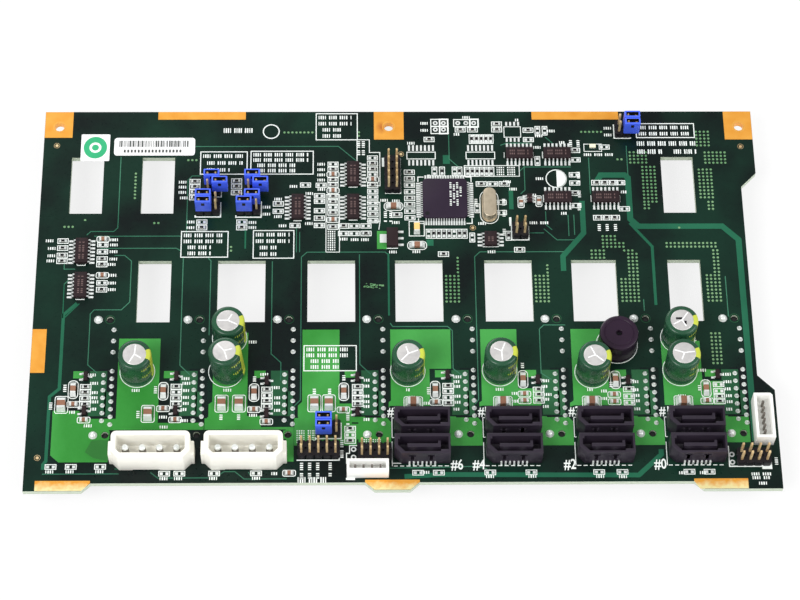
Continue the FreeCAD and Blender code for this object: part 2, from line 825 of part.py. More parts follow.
# Chip resistors. A column has one bay line and offset, and its rows' distances down the board.
resistor = master_box("resistor", "resistor_length", "resistor_width", "resistor_height")
small = master_box("small_capacitor", "small_capacitor_length", "small_capacitor_width",
                   "small_capacitor_height")
longer = master_box("long_capacitor", "long_capacitor_length", "long_capacitor_width",
                    "long_capacitor_height")
large = master_box("large_capacitor", "large_capacitor_length", "large_capacitor_width",
                   "large_capacitor_height")
doc.recompute()
RESISTOR_COLUMNS = [
    (1, -14.7, (47.1, 49.6, 52.2, 54.2)),
    (1, -2.3, (53.5, 55.4)),
    (1, -2.0, (64.2,)),
    (2, -1.65, (25.8, 27.7, 29.6, 31.6)),
    (2, 0.85, (42.4,)),
    (2, 13.35, (42.4,)),
    (2, 11.45, (25.6, 27.6, 29.8)),
    (3, -2.7, (33.9,)),
    (3, 10.2, (39.1,)),
    (4, -12.9, (21.4, 25.3, 27.1, 31.3, 33.3, 37.2, 42.3)),
    (4, -9.6, (41.9,)),
    (4, -2.6, (44.6,)),
    (4, -0.4, (19.3, 21.4, 27.2, 37.8)),
    (4, 7.1, (38.0,)),
    (4, 11.2, (22.5, 24.9, 32.0, 34.3)),
    (5, -9.7, (10.4,)),
    (5, 0.3, (6.8,)),
    (5, 4.2, (6.8,)),
    (5, 6.5, (26.8,)),
    (5, -5.9, (52.0,)),
    (6, -15.4, (4.7, 6.8)),
    (6, -13.6, (26.8,)),
    (6, -5.4, (7.0,)),
    (6, -9.5, (50.5,)),
    (6, 9.2, (14.5,)),
    (6, 8.7, (30.2,)),
    (7, -6.7, (26.4, 39.1)),
    (7, -11.7, (26.4, 39.1)),
    (7, -9.2, (26.4, 39.1)),
    (4, -7.7, (-17.5, -13.5)),
]
# Resistors that stand along the board's depth, in rows across.
RESISTOR_ROWS = [
    (5, 10.3, (3.9, 5.4, 6.9, 8.4, 9.9)),
    (5, 22.3, (2.3, 3.8, 5.3, 6.8, 8.3, 9.8)),
    (5, 22.2, (-5.8, -0.3)),
    (5, 44.75, (-8.8, -7.2, -5.6, -4.0, -0.8, 0.8)),
    (6, 45.5, (-12.8,)),
]
# Each bay's own column beside the socket's pin field.
BAY_COLUMNS = {
    1: (-31.65, -29.85, -27.75, -25.85),
    2: (-31.65, -27.75, -25.85),
    3: (-30.6, -26.8, -24.9),
    4: (-31.4, -27.6, -25.7),
    5: (-31.65, -25.85),
    6: (-30.3, -28.6, -26.6),
    7: (-30.3,),
    8: (-27.75, -26.2),
}
resistors = []
for bay, across, rows in RESISTOR_COLUMNS:
    resistors += [copy_at(resistor, spot(bay, across, down)) for down in rows]
for bay, down, places in RESISTOR_ROWS:
    resistors += [copy_at(resistor, spot(bay, across, down), 90) for across in places]
for bay, rows in BAY_COLUMNS.items():
    resistors += [copy_at(resistor, spot(bay, -5.4, down)) for down in rows]
group("chip_resistors", resistors)

# Ceramic chip capacitors: small, long (beside each pin field) and large ones.
SMALL_CAPACITORS = [
    (1, -2.3, 46.5, 0), (1, -2.0, 59.2, 0), (4, -12.9, 23.3, 0), (4, -12.9, 29.2, 0),
    (4, -12.9, 39.7, 0), (4, -0.4, 25.2, 0), (6, -8.5, 33.5, 90), (6, -2.9, 33.1, 90),
    (3, 1.5, -3.05, 0), (1, -5.5, -20.65, 0), (2, -5.5, -20.65, 0), (3, -5.5, -19.9, 0),
    (1, -8.9, -25.85, 0), (2, -9.2, -24.35, 0), (3, -9.3, -23.95, 0), (4, -9.7, -23.75, 0),
    (5, -9.1, -26.15, 0), (6, -9.7, -28.85, 0), (6, -9.7, -26.55, 0), (7, -9.9, -28.55, 0),
    (7, -9.9, -26.15, 0), (8, -9.2, -26.35, 0),
]
LONG_CAPACITORS = [
    (1, -9.1, -30.75), (2, -9.3, -30.15), (3, -9.3, -29.6), (4, -9.6, -29.8),
    (5, -9.3, -30.25), (6, -10.0, -33.75), (7, -9.3, -33.5), (8, -9.3, -30.45),
]
LARGE_CAPACITORS = [
    (1, -12.4, -25.7, 90), (2, -13.7, -22.65, 90), (2, 8.35, -25.95, 90), (3, -13.8, -25.95, 90),
    (3, 8.9, -25.95, 90), (4, -14.1, -25.95, 90), (5, -16.0, -26.1, 0), (6, -16.3, -26.1, 0),
    (7, -16.8, -26.1, 0), (8, -16.4, -26.1, 0),
]
group("chip_capacitors_small",
      [copy_at(small, spot(bay, across, down), turn) for bay, across, down, turn in SMALL_CAPACITORS])
group("chip_capacitors_long",
      [copy_at(longer, spot(bay, across, down), 90) for bay, across, down in LONG_CAPACITORS]
      + [copy_at(longer, spot(4, 6.1, 34.9)), copy_at(longer, spot(4, 13.3, 48.9))])
group("chip_capacitors_large",
      [copy_at(large, spot(bay, across, down), turn) for bay, across, down, turn in LARGE_CAPACITORS])
tantalum = master_box("tantalum", "tantalum_length", "tantalum_width", "tantalum_height")
lamp = master_box("lamp", "lamp_length", "lamp_width", "lamp_height")
doc.recompute()
group("tantalum_capacitor", [copy_at(tantalum, spot(4, 13.3, 42.8), 90)])
group("status_lamp", [copy_at(lamp, spot(7, -12.4, 13.1))])

# The lamp header stands clear of the right power inlet.
inlet_reach = size("inlet_width") / 2 + size("inlet_rib")
lamp_header_across = (size("inlet_across") + size("inlet_spacing") + inlet_reach
                      + size("lamp_header_gap") + 2.5 * size("header_pitch"))

# Pin headers: bay, across and down to the middle, then columns and rows.
HEADERS = {
    "left_pair": (2, 3.95, 28.5, 2, 2),
    "left_triple": (2, 2.7, 35.6, 3, 2),
    "middle_pair": (2, 16.65, 28.5, 2, 2),
    "middle_triple": (2, 15.4, 35.6, 3, 2),
    "reset_pair": (7, -2.65, 7.4, 2, 2),
    "data_triple": (3, 13.03, -16.97, 3, 2),
    "lamp_header": (1, lamp_header_across, -10.2, 5, 2),
    "link_header": (4, -0.4, -9.45, 4, 2),
    "edge_header": (8, 3.3, -7.35, 4, 2),
    "test_header": (4, 5.9, 23.85, 2, 5),
    "option_pair": (6, -9.15, 44.25, 2, 2),
}
pitch, base_height = size("header_pitch"), size("header_base")


def pin_place(header, column, row):
    """Where a header's pin stands, counted from its left back pin."""
    bay, across, down, columns, rows = HEADERS[header]
    middle = spot(bay, across, down)
    return middle + Vector((column - (columns - 1) / 2) * pitch, ((rows - 1) / 2 - row) * pitch, 0)


bases, header_pins = [], []
header_pin = master_box("header_pin_pattern", "header_pin", "header_pin",
                        "header_height - header_base", "header_base")
doc.recompute()
for name, (bay, across, down, columns, rows) in HEADERS.items():
    middle = spot(bay, across, down)
    wide, long = columns * pitch, rows * pitch
    bases.append(flat_box((middle.x - wide / 2, middle.y - long / 2, 0),
                          (middle.x + wide / 2, middle.y + long / 2, base_height)))
    for column in range(columns):
        for row in range(rows):
            header_pins.append(copy_at(header_pin, pin_place(name, column, row)))
group("header_bases", bases)
group("header_pins", header_pins)

# A jumper shunt: two bores that let the pin tips show in a slot, and a notch in each face.
shunt_long = 2 * pitch - size("shunt_margin")
shunt_wide = pitch - size("shunt_margin")
shunt_tall, bore = size("shunt_height"), size("shunt_bore")
shunt = flat_box((-shunt_long / 2, -shunt_wide / 2, 0), (shunt_long / 2, shunt_wide / 2, shunt_tall))
for side_way in (-1, 1):
    hole = Part.makeBox(bore, bore, shunt_tall)
    hole.translate(Vector(side_way * pitch / 2 - bore / 2, -bore / 2, 0))
    shunt = shunt.cut(hole)
slot_span = pitch + bore
shunt = shunt.cut(flat_box((-slot_span / 2, -bore / 2, shunt_tall - size("shunt_slot")),
                           (slot_span / 2, bore / 2, shunt_tall)))
notch, notch_tall = size("shunt_notch"), size("shunt_notch_height")
shunt = shunt.cut(flat_box((-notch / 2, -shunt_wide / 2, shunt_tall - notch_tall),
                           (notch / 2, 0, shunt_tall)))

# Each shunt is named by the pin that its left bore takes. One on the last column is parked.
SHUNTS = [
    ("left_pair", 0, 0), ("left_pair", 1, 1),
    ("left_triple", 0, 0), ("left_triple", 0, 1),
    ("middle_pair", 0, 0), ("middle_pair", 1, 1),
    ("middle_triple", 1, 0), ("middle_triple", 0, 1),
    ("reset_pair", 1, 0), ("reset_pair", 1, 1),
    ("data_triple", 0, 0), ("data_triple", 0, 1),
]
shunts = []
for header, column, row in SHUNTS:
    piece = shunt.copy()
    piece.translate(pin_place(header, column, row) + Vector(pitch / 2, 0, base_height))
    shunts.append(piece)
group("jumper_shunts", shunts)


def tub(middle, wide, long, tall, wall, floor):
    """A shrouded connector: a block with a hollow, open at the top."""
    outer = flat_box((middle.x - wide / 2, middle.y - long / 2, 0),
                     (middle.x + wide / 2, middle.y + long / 2, tall))
    inner = flat_box((middle.x - wide / 2 + wall, middle.y - long / 2 + wall, floor),
                     (middle.x + wide / 2 - wall, middle.y + long / 2 - wall, tall))
    return outer.cut(inner)


# White connectors: a four-way wafer at the near edge and a shrouded one at the right edge.
wall, floor = size("wafer_wall"), size("wafer_floor")
wafer_middle = spot(4, -2.5, -3.35)
wafer_tall = size("wafer_height")
group("wafer_connector", [tub(wafer_middle, size("wafer_width"), size("wafer_length"), wafer_tall,
                              wall, floor)])
side_middle = spot(8, 6.85, -18.95)
side_tall = size("side_connector_height")
side_shell = tub(side_middle, size("side_connector_width"), size("side_connector_length"), side_tall,
                 wall, floor)
corner = max(side_shell.Edges, key=lambda edge: (edge.BoundBox.ZLength > 5.5, edge.CenterOfMass.x
                                                 + edge.CenterOfMass.y))
group("side_connector", [side_shell.makeChamfer(size("side_connector_corner"), [corner])])
small_pins = []
pin = size("header_pin")
for index in range(4):
    middle = wafer_middle + Vector((index - 1.5) * size("wafer_pitch"), 0, 0)
    small_pins.append(flat_box((middle.x - pin / 2, middle.y - pin / 2, floor),
                               (middle.x + pin / 2, middle.y + pin / 2, wafer_tall - wall)))
for index in range(6):
    middle = side_middle + Vector(0, (index - 2.5) * size("side_connector_pitch"), 0)
    small_pins.append(flat_box((middle.x - pin / 2, middle.y - pin / 2, floor),
                               (middle.x + pin / 2, middle.y + pin / 2, side_tall - wall)))
group("connector_pins", small_pins)

# Stickers lie flat between the components.
square = master_box("square_pattern", "square_sticker_width", "square_sticker_length",
                    "sticker_thickness")
strip = master_box("strip_pattern", "long_sticker_width", "long_sticker_length", "sticker_thickness")
doc.recompute()
group("square_sticker", [copy_at(square, spot(1, -6.15, 13.3))])
group("long_sticker", [copy_at(strip, spot(1, 12.6, 12.95))])

# ---------------------------------------------------------------- checks and files

doc.recompute()
for item in doc.Objects:
    faults = [state for state in item.State if state in ("Invalid", "Error")]
    if faults:
        raise RuntimeError(f"{item.Label} is {faults}")
for before, after in removals:
    if after.Shape.Volume > before.Shape.Volume - 0.001:
        raise RuntimeError(f"{after.Label} removes nothing")

nodes = [item for item in doc.Objects if item.TypeId in ("PartDesign::Body", "Part::Feature")]
os.makedirs("parts", exist_ok=True)
for node in nodes:
    shape = node.Shape
    if shape.isNull() or not shape.isValid():
        raise RuntimeError(f"{node.Label} has no valid shape")
    shape.exportStep(os.path.join("parts", f"{node.Label}.step"))
    print(f"{node.Label:24s} {len(shape.Solids):4d} solids {shape.Volume:10.1f} mm3")
print(len(nodes), "nodes")
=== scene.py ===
# %% [markdown]
# # A drive backplane board
# A server's drives plug into sockets under this board, and its cables plug into ports on top.
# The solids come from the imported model. Here they get printed copper, solder, ink and moulded
# edges. The lesson works from the laminate upwards, in the order in which a board is made.

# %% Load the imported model
import math
import random

import bmesh
import bpy
from mathutils import Matrix, Vector


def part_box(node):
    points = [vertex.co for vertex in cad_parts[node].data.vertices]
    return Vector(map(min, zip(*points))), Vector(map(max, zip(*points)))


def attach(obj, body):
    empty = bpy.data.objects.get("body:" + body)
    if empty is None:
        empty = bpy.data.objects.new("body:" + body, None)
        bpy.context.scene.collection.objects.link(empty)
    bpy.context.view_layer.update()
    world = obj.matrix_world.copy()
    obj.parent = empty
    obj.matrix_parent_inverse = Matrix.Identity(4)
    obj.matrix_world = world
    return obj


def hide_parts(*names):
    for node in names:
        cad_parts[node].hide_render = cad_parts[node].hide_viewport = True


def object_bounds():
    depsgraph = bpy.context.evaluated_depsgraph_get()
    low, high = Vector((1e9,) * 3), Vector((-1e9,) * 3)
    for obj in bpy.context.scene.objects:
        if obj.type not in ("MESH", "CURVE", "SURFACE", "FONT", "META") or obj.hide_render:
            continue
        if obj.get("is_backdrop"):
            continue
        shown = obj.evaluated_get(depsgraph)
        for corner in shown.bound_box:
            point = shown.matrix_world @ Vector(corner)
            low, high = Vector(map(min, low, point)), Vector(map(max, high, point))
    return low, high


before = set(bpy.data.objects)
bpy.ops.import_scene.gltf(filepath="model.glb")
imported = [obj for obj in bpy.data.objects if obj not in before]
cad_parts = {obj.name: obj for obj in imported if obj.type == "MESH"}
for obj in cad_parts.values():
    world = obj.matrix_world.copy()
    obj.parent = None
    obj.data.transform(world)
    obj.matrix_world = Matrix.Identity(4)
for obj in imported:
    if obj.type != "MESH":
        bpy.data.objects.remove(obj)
cad_low, cad_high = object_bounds()
print("nodes", len(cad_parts), "box", [round(v, 4) for v in cad_high - cad_low])

# %% [markdown]
# ## Drawing units
# Boards are drawn in millimetres from a corner. Every shape below is made in that drawing,
# across from the left edge, down from the back edge and up from the upper face, and one matrix
# takes the finished shape to its place. The alternative, metres everywhere, hides the layout.

# %% Drawing to frame
board_low, board_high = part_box("circuit_board")
TO_FRAME = (Matrix.Translation((board_low.x, board_high.y, board_high.z))
            @ Matrix.Diagonal((0.001, 0.001, 0.001, 1)))
TO_DRAWING = TO_FRAME.inverted()
WIDE, DEEP, THICK = (board_high - board_low) * 1000
PITCH = 2.54  # between header pins
GRID = PITCH / 2  # between socket contacts, chip leads and vias
PLACES = range(1, 9)  # bays, ports and cans are numbered alike


def on_board(across, down, up=0.0):
    """A point of the drawing."""
    return Vector((across, -down, up))


def drawn_box(node):
    """A CAD node's lowest and highest corners in the drawing."""
    low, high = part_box(node)
    return TO_DRAWING @ low, TO_DRAWING @ high


BAY = [sum(drawn_box(f"drive_socket_{number}"), Vector()).x / 2 for number in PLACES]
print("board", round(WIDE, 2), round(DEEP, 2), round(THICK, 2), "bays", [round(x, 2) for x in BAY])

# %% [markdown]
# ## A few shape helpers
# Small parts repeat hundreds of times, so each is cheap: a block, a band along a line, a turned
# profile. They wrap bmesh operators. A stamped shape is copied from a finished pattern, which is
# far quicker than running the operators again for each copy.

# %% Blocks
def bevelled(shape, edges, radius, steps):
    """Rounds edges in a few steps."""
    bmesh.ops.bevel(shape, geom=edges, offset=radius, segments=steps, profile=0.5,
                    affect="EDGES", material=-1, clamp_overlap=True)


def block(shape, low, high, finish=0, soften=0.0, steps=2):
    """A block between two corners, with its edges rounded if asked."""
    low, high = Vector(low), Vector(high)
    place = Matrix.Translation((low + high) / 2) @ Matrix.Diagonal((*(high - low), 1))
    made = bmesh.ops.create_cube(shape, size=1, matrix=place)["verts"]
    for face in {face for vert in made for face in vert.link_faces}:
        face.material_index = finish
    if soften:
        edges = dict.fromkeys(edge for vert in made for edge in vert.link_edges)
        bevelled(shape, list(edges), soften, steps)
    return made


def slab(shape, across, down, wide, long, low, high, finish=0):
    """A block given by its middle and size in the plane of the board."""
    return block(shape, (across - wide / 2, -down - long / 2, low),
                 (across + wide / 2, -down + long / 2, high), finish)


# %% Bands along a line
NUDGE, NUDGES = 0.0011, 7  # how far apart, and after how many bands they start again


def apart(shape, high):
    """A height raised by a few micrometres, so that plates which cross never coincide."""
    return high + NUDGE * (len(shape.verts) // 4 % NUDGES)


def path(shape, points, width, low, high, finish=0, closed=False):
    """A flat band along a line of points, with mitred bends."""
    line = [Vector((across, -down)) for across, down in points]
    ways = [(after - before).normalized() for before, after in zip(line, line[1:] + line[:1])]
    high = apart(shape, high)
    rings = []
    for number, point in enumerate(line):
        arriving = ways[number - 1] if closed or number else ways[0]
        leaving = ways[number] if closed or number < len(line) - 1 else arriving
        lean = (arriving + leaving).normalized()
        side = Vector((-lean.y, lean.x)) * (width / 2 / lean.dot(leaving))
        rings.append([shape.verts.new((*edge, height)) for edge, height in (
            (point + side, low), (point - side, low), (point - side, high), (point + side, high))])
    pairs = list(zip(rings, rings[1:] + rings[:1]))
    for before, after in pairs if closed else pairs[:-1]:
        for corner in range(4):
            beyond = (corner + 1) % 4
            shape.faces.new((before[corner], before[beyond], after[beyond], after[corner]))
    if not closed:
        shape.faces.new(rings[0])
        shape.faces.new(rings[-1])
    for face in {face for cut in rings for vert in cut for face in vert.link_faces}:
        face.material_index = finish


# %% Rounded corners and plates
CORNER_STEPS = 4


def rounded(left, top, right, bottom, corner):
    """The points of a rectangle with rounded corners."""
    points = []
    for x, y, first in ((right - corner, bottom - corner, 0), (left + corner, bottom - corner, 90),
                        (left + corner, top + corner, 180), (right - corner, top + corner, 270)):
        for step in range(CORNER_STEPS + 1):
            angle = math.radians(first + 90 / CORNER_STEPS * step)
            points.append((x + corner * math.cos(angle), y + corner * math.sin(angle)))
    return points


def thicken(shape, faces, height):
    """Extrudes faces straight up."""
    lifted = bmesh.ops.extrude_face_region(shape, geom=faces)["geom"]
    bmesh.ops.translate(shape, vec=(0, 0, height),
                        verts=[item for item in lifted if isinstance(item, bmesh.types.BMVert)])


def sheet(shape, corners, low, high, finish=0):
    """A flat plate from the few corners of its outline."""
    high = apart(shape, high)
    face = shape.faces.new([shape.verts.new((across, -down, low)) for across, down in corners])
    face.material_index = finish
    thicken(shape, [face], high - low)


# %% Round holes
HOLE_SIDES = 24
MARGIN = 1.25  # of the square that is cut out round a hole, as a share of its radius


def crosses(face, middle, reach):
    """Whether a face comes within reach of a place, across and down."""
    return all(min(vert.co[axis] for vert in face.verts) < middle[axis] + reach
               and max(vert.co[axis] for vert in face.verts) > middle[axis] - reach for axis in (0, 1))


def punch(shape, across, down, radius):
    """Cuts a round hole through every plate of a shape that crosses a place."""
    middle, reach = on_board(across, down), radius * MARGIN
    for axis in (Vector((1, 0, 0)), Vector((0, 1, 0))):
        for way in (-1, 1):
            near = [face for face in shape.faces if crosses(face, middle, reach)]
            parts = dict.fromkeys(part for face in near for part in (*face.verts, *face.edges, face))
            bmesh.ops.bisect_plane(shape, geom=list(parts), plane_co=middle + axis * way * reach,
                                   plane_no=axis)
    inside = [face for face in shape.faces
              if all(abs(face.calc_center_median()[axis] - middle[axis]) < reach / 2 for axis in (0, 1))]
    tops = [(face.calc_center_median().z, face.material_index) for face in inside]
    tops = [(height, finish) for height, finish in tops if height > 0.01]
    bmesh.ops.delete(shape, geom=inside, context="FACES_ONLY")
    for top, finish in tops:
        rows = []
        for step in range(HOLE_SIDES):
            angle = math.tau * step / HOLE_SIDES
            way = Vector((math.cos(angle), math.sin(angle), 0))
            square = reach / max(abs(way.x), abs(way.y))
            rows.append([shape.verts.new(middle + way * length + Vector((0, 0, height)))
                         for length, height in ((square, top), (radius, top), (radius, 0.0))])
        for before, after in zip(rows, rows[1:] + rows[:1]):
            for step in (0, 1):
                face = shape.faces.new((before[step], before[step + 1], after[step + 1], after[step]))
                face.material_index = finish


# %% Turned shapes, rings and stamps
def turned(shape, profile, sides=16, finish=0):
    """A shape of revolution about the upright axis from (radius, height) pairs."""
    verts = [shape.verts.new((radius, 0, height)) for radius, height in profile]
    edges = [shape.edges.new(pair) for pair in zip(verts, verts[1:])]
    before = set(shape.faces)
    bmesh.ops.spin(shape, geom=verts + edges, cent=(0, 0, 0), axis=(0, 0, 1),
                   angle=math.tau, steps=sides, use_merge=True)
    for face in shape.faces:
        if face not in before:
            face.material_index = finish
    bmesh.ops.remove_doubles(shape, verts=shape.verts, dist=1e-5)


def lathe(profile, sides, finish=0):
    """A turned pattern, ready for stamping."""
    shape = bmesh.new()
    turned(shape, profile, sides, finish)
    return keep(shape)


def ring(shape, across, down, inner, outer, low, high, sides=20, finish=0):
    """A flat ring."""
    profile = [(inner, low), (outer, low), (outer, high), (inner, high), (inner, low)]
    stamp(shape, lathe(profile, sides, finish), Matrix.Translation((across, -down, 0)))


def keep(shape):
    """Keeps a finished pattern for stamping."""
    bmesh.ops.recalc_face_normals(shape, faces=shape.faces)
    pattern = bpy.data.meshes.new("pattern")
    shape.to_mesh(pattern)
    shape.free()
    return pattern


def stamp(shape, pattern, place):
    """Copies a pattern into a shape."""
    first = len(shape.verts)
    shape.from_mesh(pattern)
    shape.verts.ensure_lookup_table()
    bmesh.ops.transform(shape, matrix=place, verts=shape.verts[first:])


def facing(degrees):
    """A turn about the upright axis."""
    return Matrix.Rotation(math.radians(degrees), 4, "Z")


def spot(across, down, up=0.0, turn=0.0):
    """Where a pattern is stamped: a point of the drawing and a turn in degrees."""
    return Matrix.Translation(on_board(across, down, up)) @ facing(turn)


# %% [markdown]
# ## From shape to piece
# A piece is a mesh in the frame's metres whose object stays at the origin. Normals are set to
# point outwards, faces shade smoothly across gentle edges only, and the piece rides on the root
# body. Groups of equal CAD solids are read back as a list of boxes, one for each solid.

# %% Pieces and solids
SMOOTH_ANGLE, SHARP_ANGLE = math.radians(35), math.radians(40)


def piece(shape, name, finishes, stands_for=()):
    """Turns a drawn shape into a piece of the part."""
    bmesh.ops.recalc_face_normals(shape, faces=shape.faces)
    shape.transform(TO_FRAME)
    mesh = bpy.data.meshes.new(name)
    shape.to_mesh(mesh)
    shape.free()
    for finish in finishes:
        mesh.materials.append(finish)
    mesh.shade_smooth()
    mesh.set_sharp_from_angle(angle=SMOOTH_ANGLE)
    made = bpy.data.objects.new(name, mesh)
    bpy.context.scene.collection.objects.link(made)
    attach(made, "root")
    if stands_for:
        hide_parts(*stands_for)
    print(f"{name}: {len(mesh.polygons)} faces")


def cad_shape(node):
    """A merged copy of a CAD node's mesh, in the drawing."""
    shape = bmesh.new()
    shape.from_mesh(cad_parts[node].data)
    shape.transform(TO_DRAWING)
    bmesh.ops.remove_doubles(shape, verts=shape.verts, dist=1e-3)
    return shape


def solids(node):
    """The low and high corners of each separate solid of a node, in the drawing."""
    shape = cad_shape(node)
    found, seen = [], set()
    for first in shape.verts:
        if first in seen:
            continue
        seen.add(first)
        island, wave = [first], [first]
        while wave:
            wave = [edge.other_vert(vert) for vert in wave for edge in vert.link_edges]
            wave = [vert for vert in set(wave) if vert not in seen]
            seen.update(wave)
            island += wave
        found.append((Vector([min(vert.co[i] for vert in island) for i in range(3)]),
                      Vector([max(vert.co[i] for vert in island) for i in range(3)])))
    shape.free()
    return found


def stamp_each(shape, pattern, node, up=None):
    """Stamps a pattern at every solid of a node, from its foot or from a given height."""
    for low, high in solids(node):
        middle = (low + high) / 2
        stamp(shape, pattern, Matrix.Translation((middle.x, middle.y, low.z if up is None else up)))


def softened(node, radius, finishes, steps=2):
    """A CAD solid with its flat faces joined up and its sharp edges rounded."""
    shape = cad_shape(node)
    bmesh.ops.dissolve_limit(shape, angle_limit=math.radians(1), verts=shape.verts, edges=shape.edges)
    sharp = [edge for edge in shape.edges
             if len(edge.link_faces) == 2 and edge.calc_face_angle() > SHARP_ANGLE]
    bevelled(shape, sharp, radius, steps)
    piece(shape, f"{node}_moulding", finishes, [node])


# %% [markdown]
# ## Finishes
# A finish is a node tree. Writing it as Python arithmetic keeps it readable, so a small class
# wraps a socket and overloads the operators, and every other node comes from one method. Patterns
# read Object coordinates in metres, so their scale is real: 1000 cells to a metre is one to a
# millimetre.

# %% Socket arithmetic
class Wire:
    """A socket that takes part in arithmetic."""

    def __init__(self, finish, socket):
        self.finish, self.socket = finish, socket

    def maths(self, operation, first, second=0.0):
        return self.finish.node("ShaderNodeMath", {"operation": operation}, {0: first, 1: second})

    def __add__(self, other):
        return self.maths("ADD", self, other)

    def __mul__(self, other):
        return self.maths("MULTIPLY", self, other)

    def __gt__(self, other):
        return self.maths("GREATER_THAN", self, other)

    def __lt__(self, other):
        return self.maths("LESS_THAN", self, other)

    __radd__ = __add__
    __rmul__ = __mul__


def ink(red, green, blue):
    """A colour as seen on a screen, 0 to 255, made linear for the shader."""
    linear = [v / 12.92 if v <= 0.04045 else ((v + 0.055) / 1.055) ** 2.4
              for v in (red / 255, green / 255, blue / 255)]
    return (*linear, 1.0)


# %% One material and its nodes
class Finish:
    """One material, with its shader and its coordinates ready."""

    def __init__(self, name, **surface):
        self.material = bpy.data.materials.new(name)
        self.material.use_nodes = True
        self.tree = self.material.node_tree
        self.shader = self.tree.nodes["Principled BSDF"]
        self.place = self.node("ShaderNodeTexCoord", take="Object")
        for socket, value in surface.items():
            self.set(socket.replace("_", " "), value)

    def node(self, kind, settings=None, sockets=None, take=0):
        """Any node: its settings come first, then the values or links of its sockets."""
        made = self.tree.nodes.new(kind)
        for key, value in (settings or {}).items():
            setattr(made, key, value)
        for key, value in (sockets or {}).items():
            self.feed(made.inputs[key], value)
        return Wire(self, made.outputs[take])

    def feed(self, entry, value):
        """Links a wire to a node's input, or sets the input to a plain value."""
        if isinstance(value, Wire):
            self.tree.links.new(value.socket, entry)
        else:
            entry.default_value = value

    def set(self, socket, value):
        """Sets or links one of the shader's own sockets."""
        self.feed(self.shader.inputs[socket], value)

    def axis(self, letter):
        """How far a point lies along one axis, in metres."""
        return self.node("ShaderNodeSeparateXYZ", sockets={"Vector": self.place}, take=letter)

    def noise(self, scale, detail=2.0, stretch=(1, 1, 1)):
        """Soft cloudy values from 0 to 1, so many cells to a metre."""
        spread = self.node("ShaderNodeMapping", sockets={"Vector": self.place, "Scale": stretch})
        return self.node("ShaderNodeTexNoise",
                         sockets={"Vector": spread, "Scale": scale, "Detail": detail})

    def grade(self, value, low, high):
        """Stretches part of a value's range to 0 to 1."""
        return self.node("ShaderNodeMapRange",
                         sockets={"Value": value, "From Min": low, "From Max": high})

    def mix(self, share, first, second):
        """A colour between two."""
        return self.node("ShaderNodeMix", {"data_type": "RGBA"}, {0: share, 6: first, 7: second}, 2)

    def bump(self, height, depth, strength=1.0):
        """Raises the surface by a height in metres."""
        self.set("Normal", self.node(
            "ShaderNodeBump", sockets={"Height": height, "Distance": depth, "Strength": strength}))


# %% [markdown]
# Most parts are moulded plastic or plated metal. Both show faint cloudy colour and an uneven
# gloss, and plastic has a fine grain from its mould. Two recipes cover them, and the few finishes
# with a pattern of their own are written out where they are used.

# %% Plastic and metal recipes
def plastic(name, colour, roughness, clouds, grain=2600.0, depth=0.00002, **more):
    """Moulded plastic: cloudy colour, uneven gloss and a fine grain."""
    finish = Finish(name, IOR=1.46, **more)
    cloud = finish.noise(140.0, 3.0)
    dark = tuple(c * (1 - clouds) for c in colour[:3]) + (1.0,)
    light = tuple(min(1, c * (1 + clouds)) for c in colour[:3]) + (1.0,)
    finish.set("Base Color", finish.mix(finish.grade(cloud, 0.35, 0.65), dark, light))
    speck = finish.noise(grain, 2.0)
    finish.set("Roughness", roughness - 0.06 + speck * 0.12)
    finish.bump(speck, depth, 0.5)
    return finish.material


def metal(name, colour, roughness, tarnish, share, shine, brushed=(1, 1, 1)):
    """Plated metal: a bright colour with duller stains and an uneven gloss."""
    finish = Finish(name, Metallic=shine)
    stain = finish.grade(finish.noise(420.0, 4.0), *share)
    finish.set("Base Color", finish.mix(stain, colour, tarnish))
    streak = finish.noise(2400.0, 2.0, brushed)
    finish.set("Roughness", roughness - 0.07 + streak * 0.14 + stain * 0.12)
    finish.bump(streak, 0.00002, 0.6)
    return finish.material


# %% The finishes of this board
SOLDER = metal("solder", ink(240, 244, 242), 0.34, ink(208, 214, 210), (0.5, 0.8), 0.35)
GOLD = metal("gold_plate", ink(250, 184, 84), 0.36, ink(226, 150, 52), (0.45, 0.85), 0.5)
BRONZE = metal("worn_gold", ink(250, 222, 170), 0.33, ink(176, 128, 78), (0.45, 0.8), 0.45)
CAN_TOP = metal("aluminium_top", ink(214, 212, 210), 0.42, ink(186, 184, 184), (0.4, 0.8), 0.4)
CRYSTAL = metal("drawn_can", ink(206, 192, 168), 0.36, ink(176, 162, 138), (0.45, 0.8), 0.7, (1, 6, 1))
# A darker copy of the pin metal is painted shade, for pins down inside their housings.
PIN_METAL_PAINTED_SHADE = metal("pin_metal_painted_shade", ink(132, 126, 118), 0.42, ink(84, 78, 74), (0.4, 0.8), 0.5)
DULL, DULLER, DULLEST = ({"Specular_IOR_Level": level} for level in (0.35, 0.3, 0.25))
FLAT = {"depth": 0.000004}  # metres of grain on ink
WHITE_INK = plastic("white_ink", ink(238, 244, 240), 0.6, 0.03, **FLAT)
BLACK_PORT = plastic("port_plastic", ink(44, 37, 49), 0.44, 0.10, **DULL)
BLACK_SOCKET = plastic("socket_plastic", ink(30, 30, 32), 0.45, 0.10, **DULL)
BLACK_HEADER = plastic("header_plastic", ink(22, 20, 26), 0.48, 0.10, **DULLER)
BLACK_CHIP = plastic("moulded_epoxy", ink(40, 27, 30), 0.6, 0.12, 3600.0, 0.00003, **DULLEST)
PURPLE_CHIP = plastic("controller_epoxy", ink(40, 27, 46), 0.55, 0.10, 3600.0, 0.00003, **DULLER)
BUZZER_BLACK = plastic("buzzer_plastic", ink(38, 20, 40), 0.34, 0.12, Specular_IOR_Level=0.4)
IVORY = plastic("ivory_nylon", ink(248, 246, 236), 0.45, 0.02)
NYLON = plastic("white_nylon", ink(248, 248, 244), 0.42, 0.02)
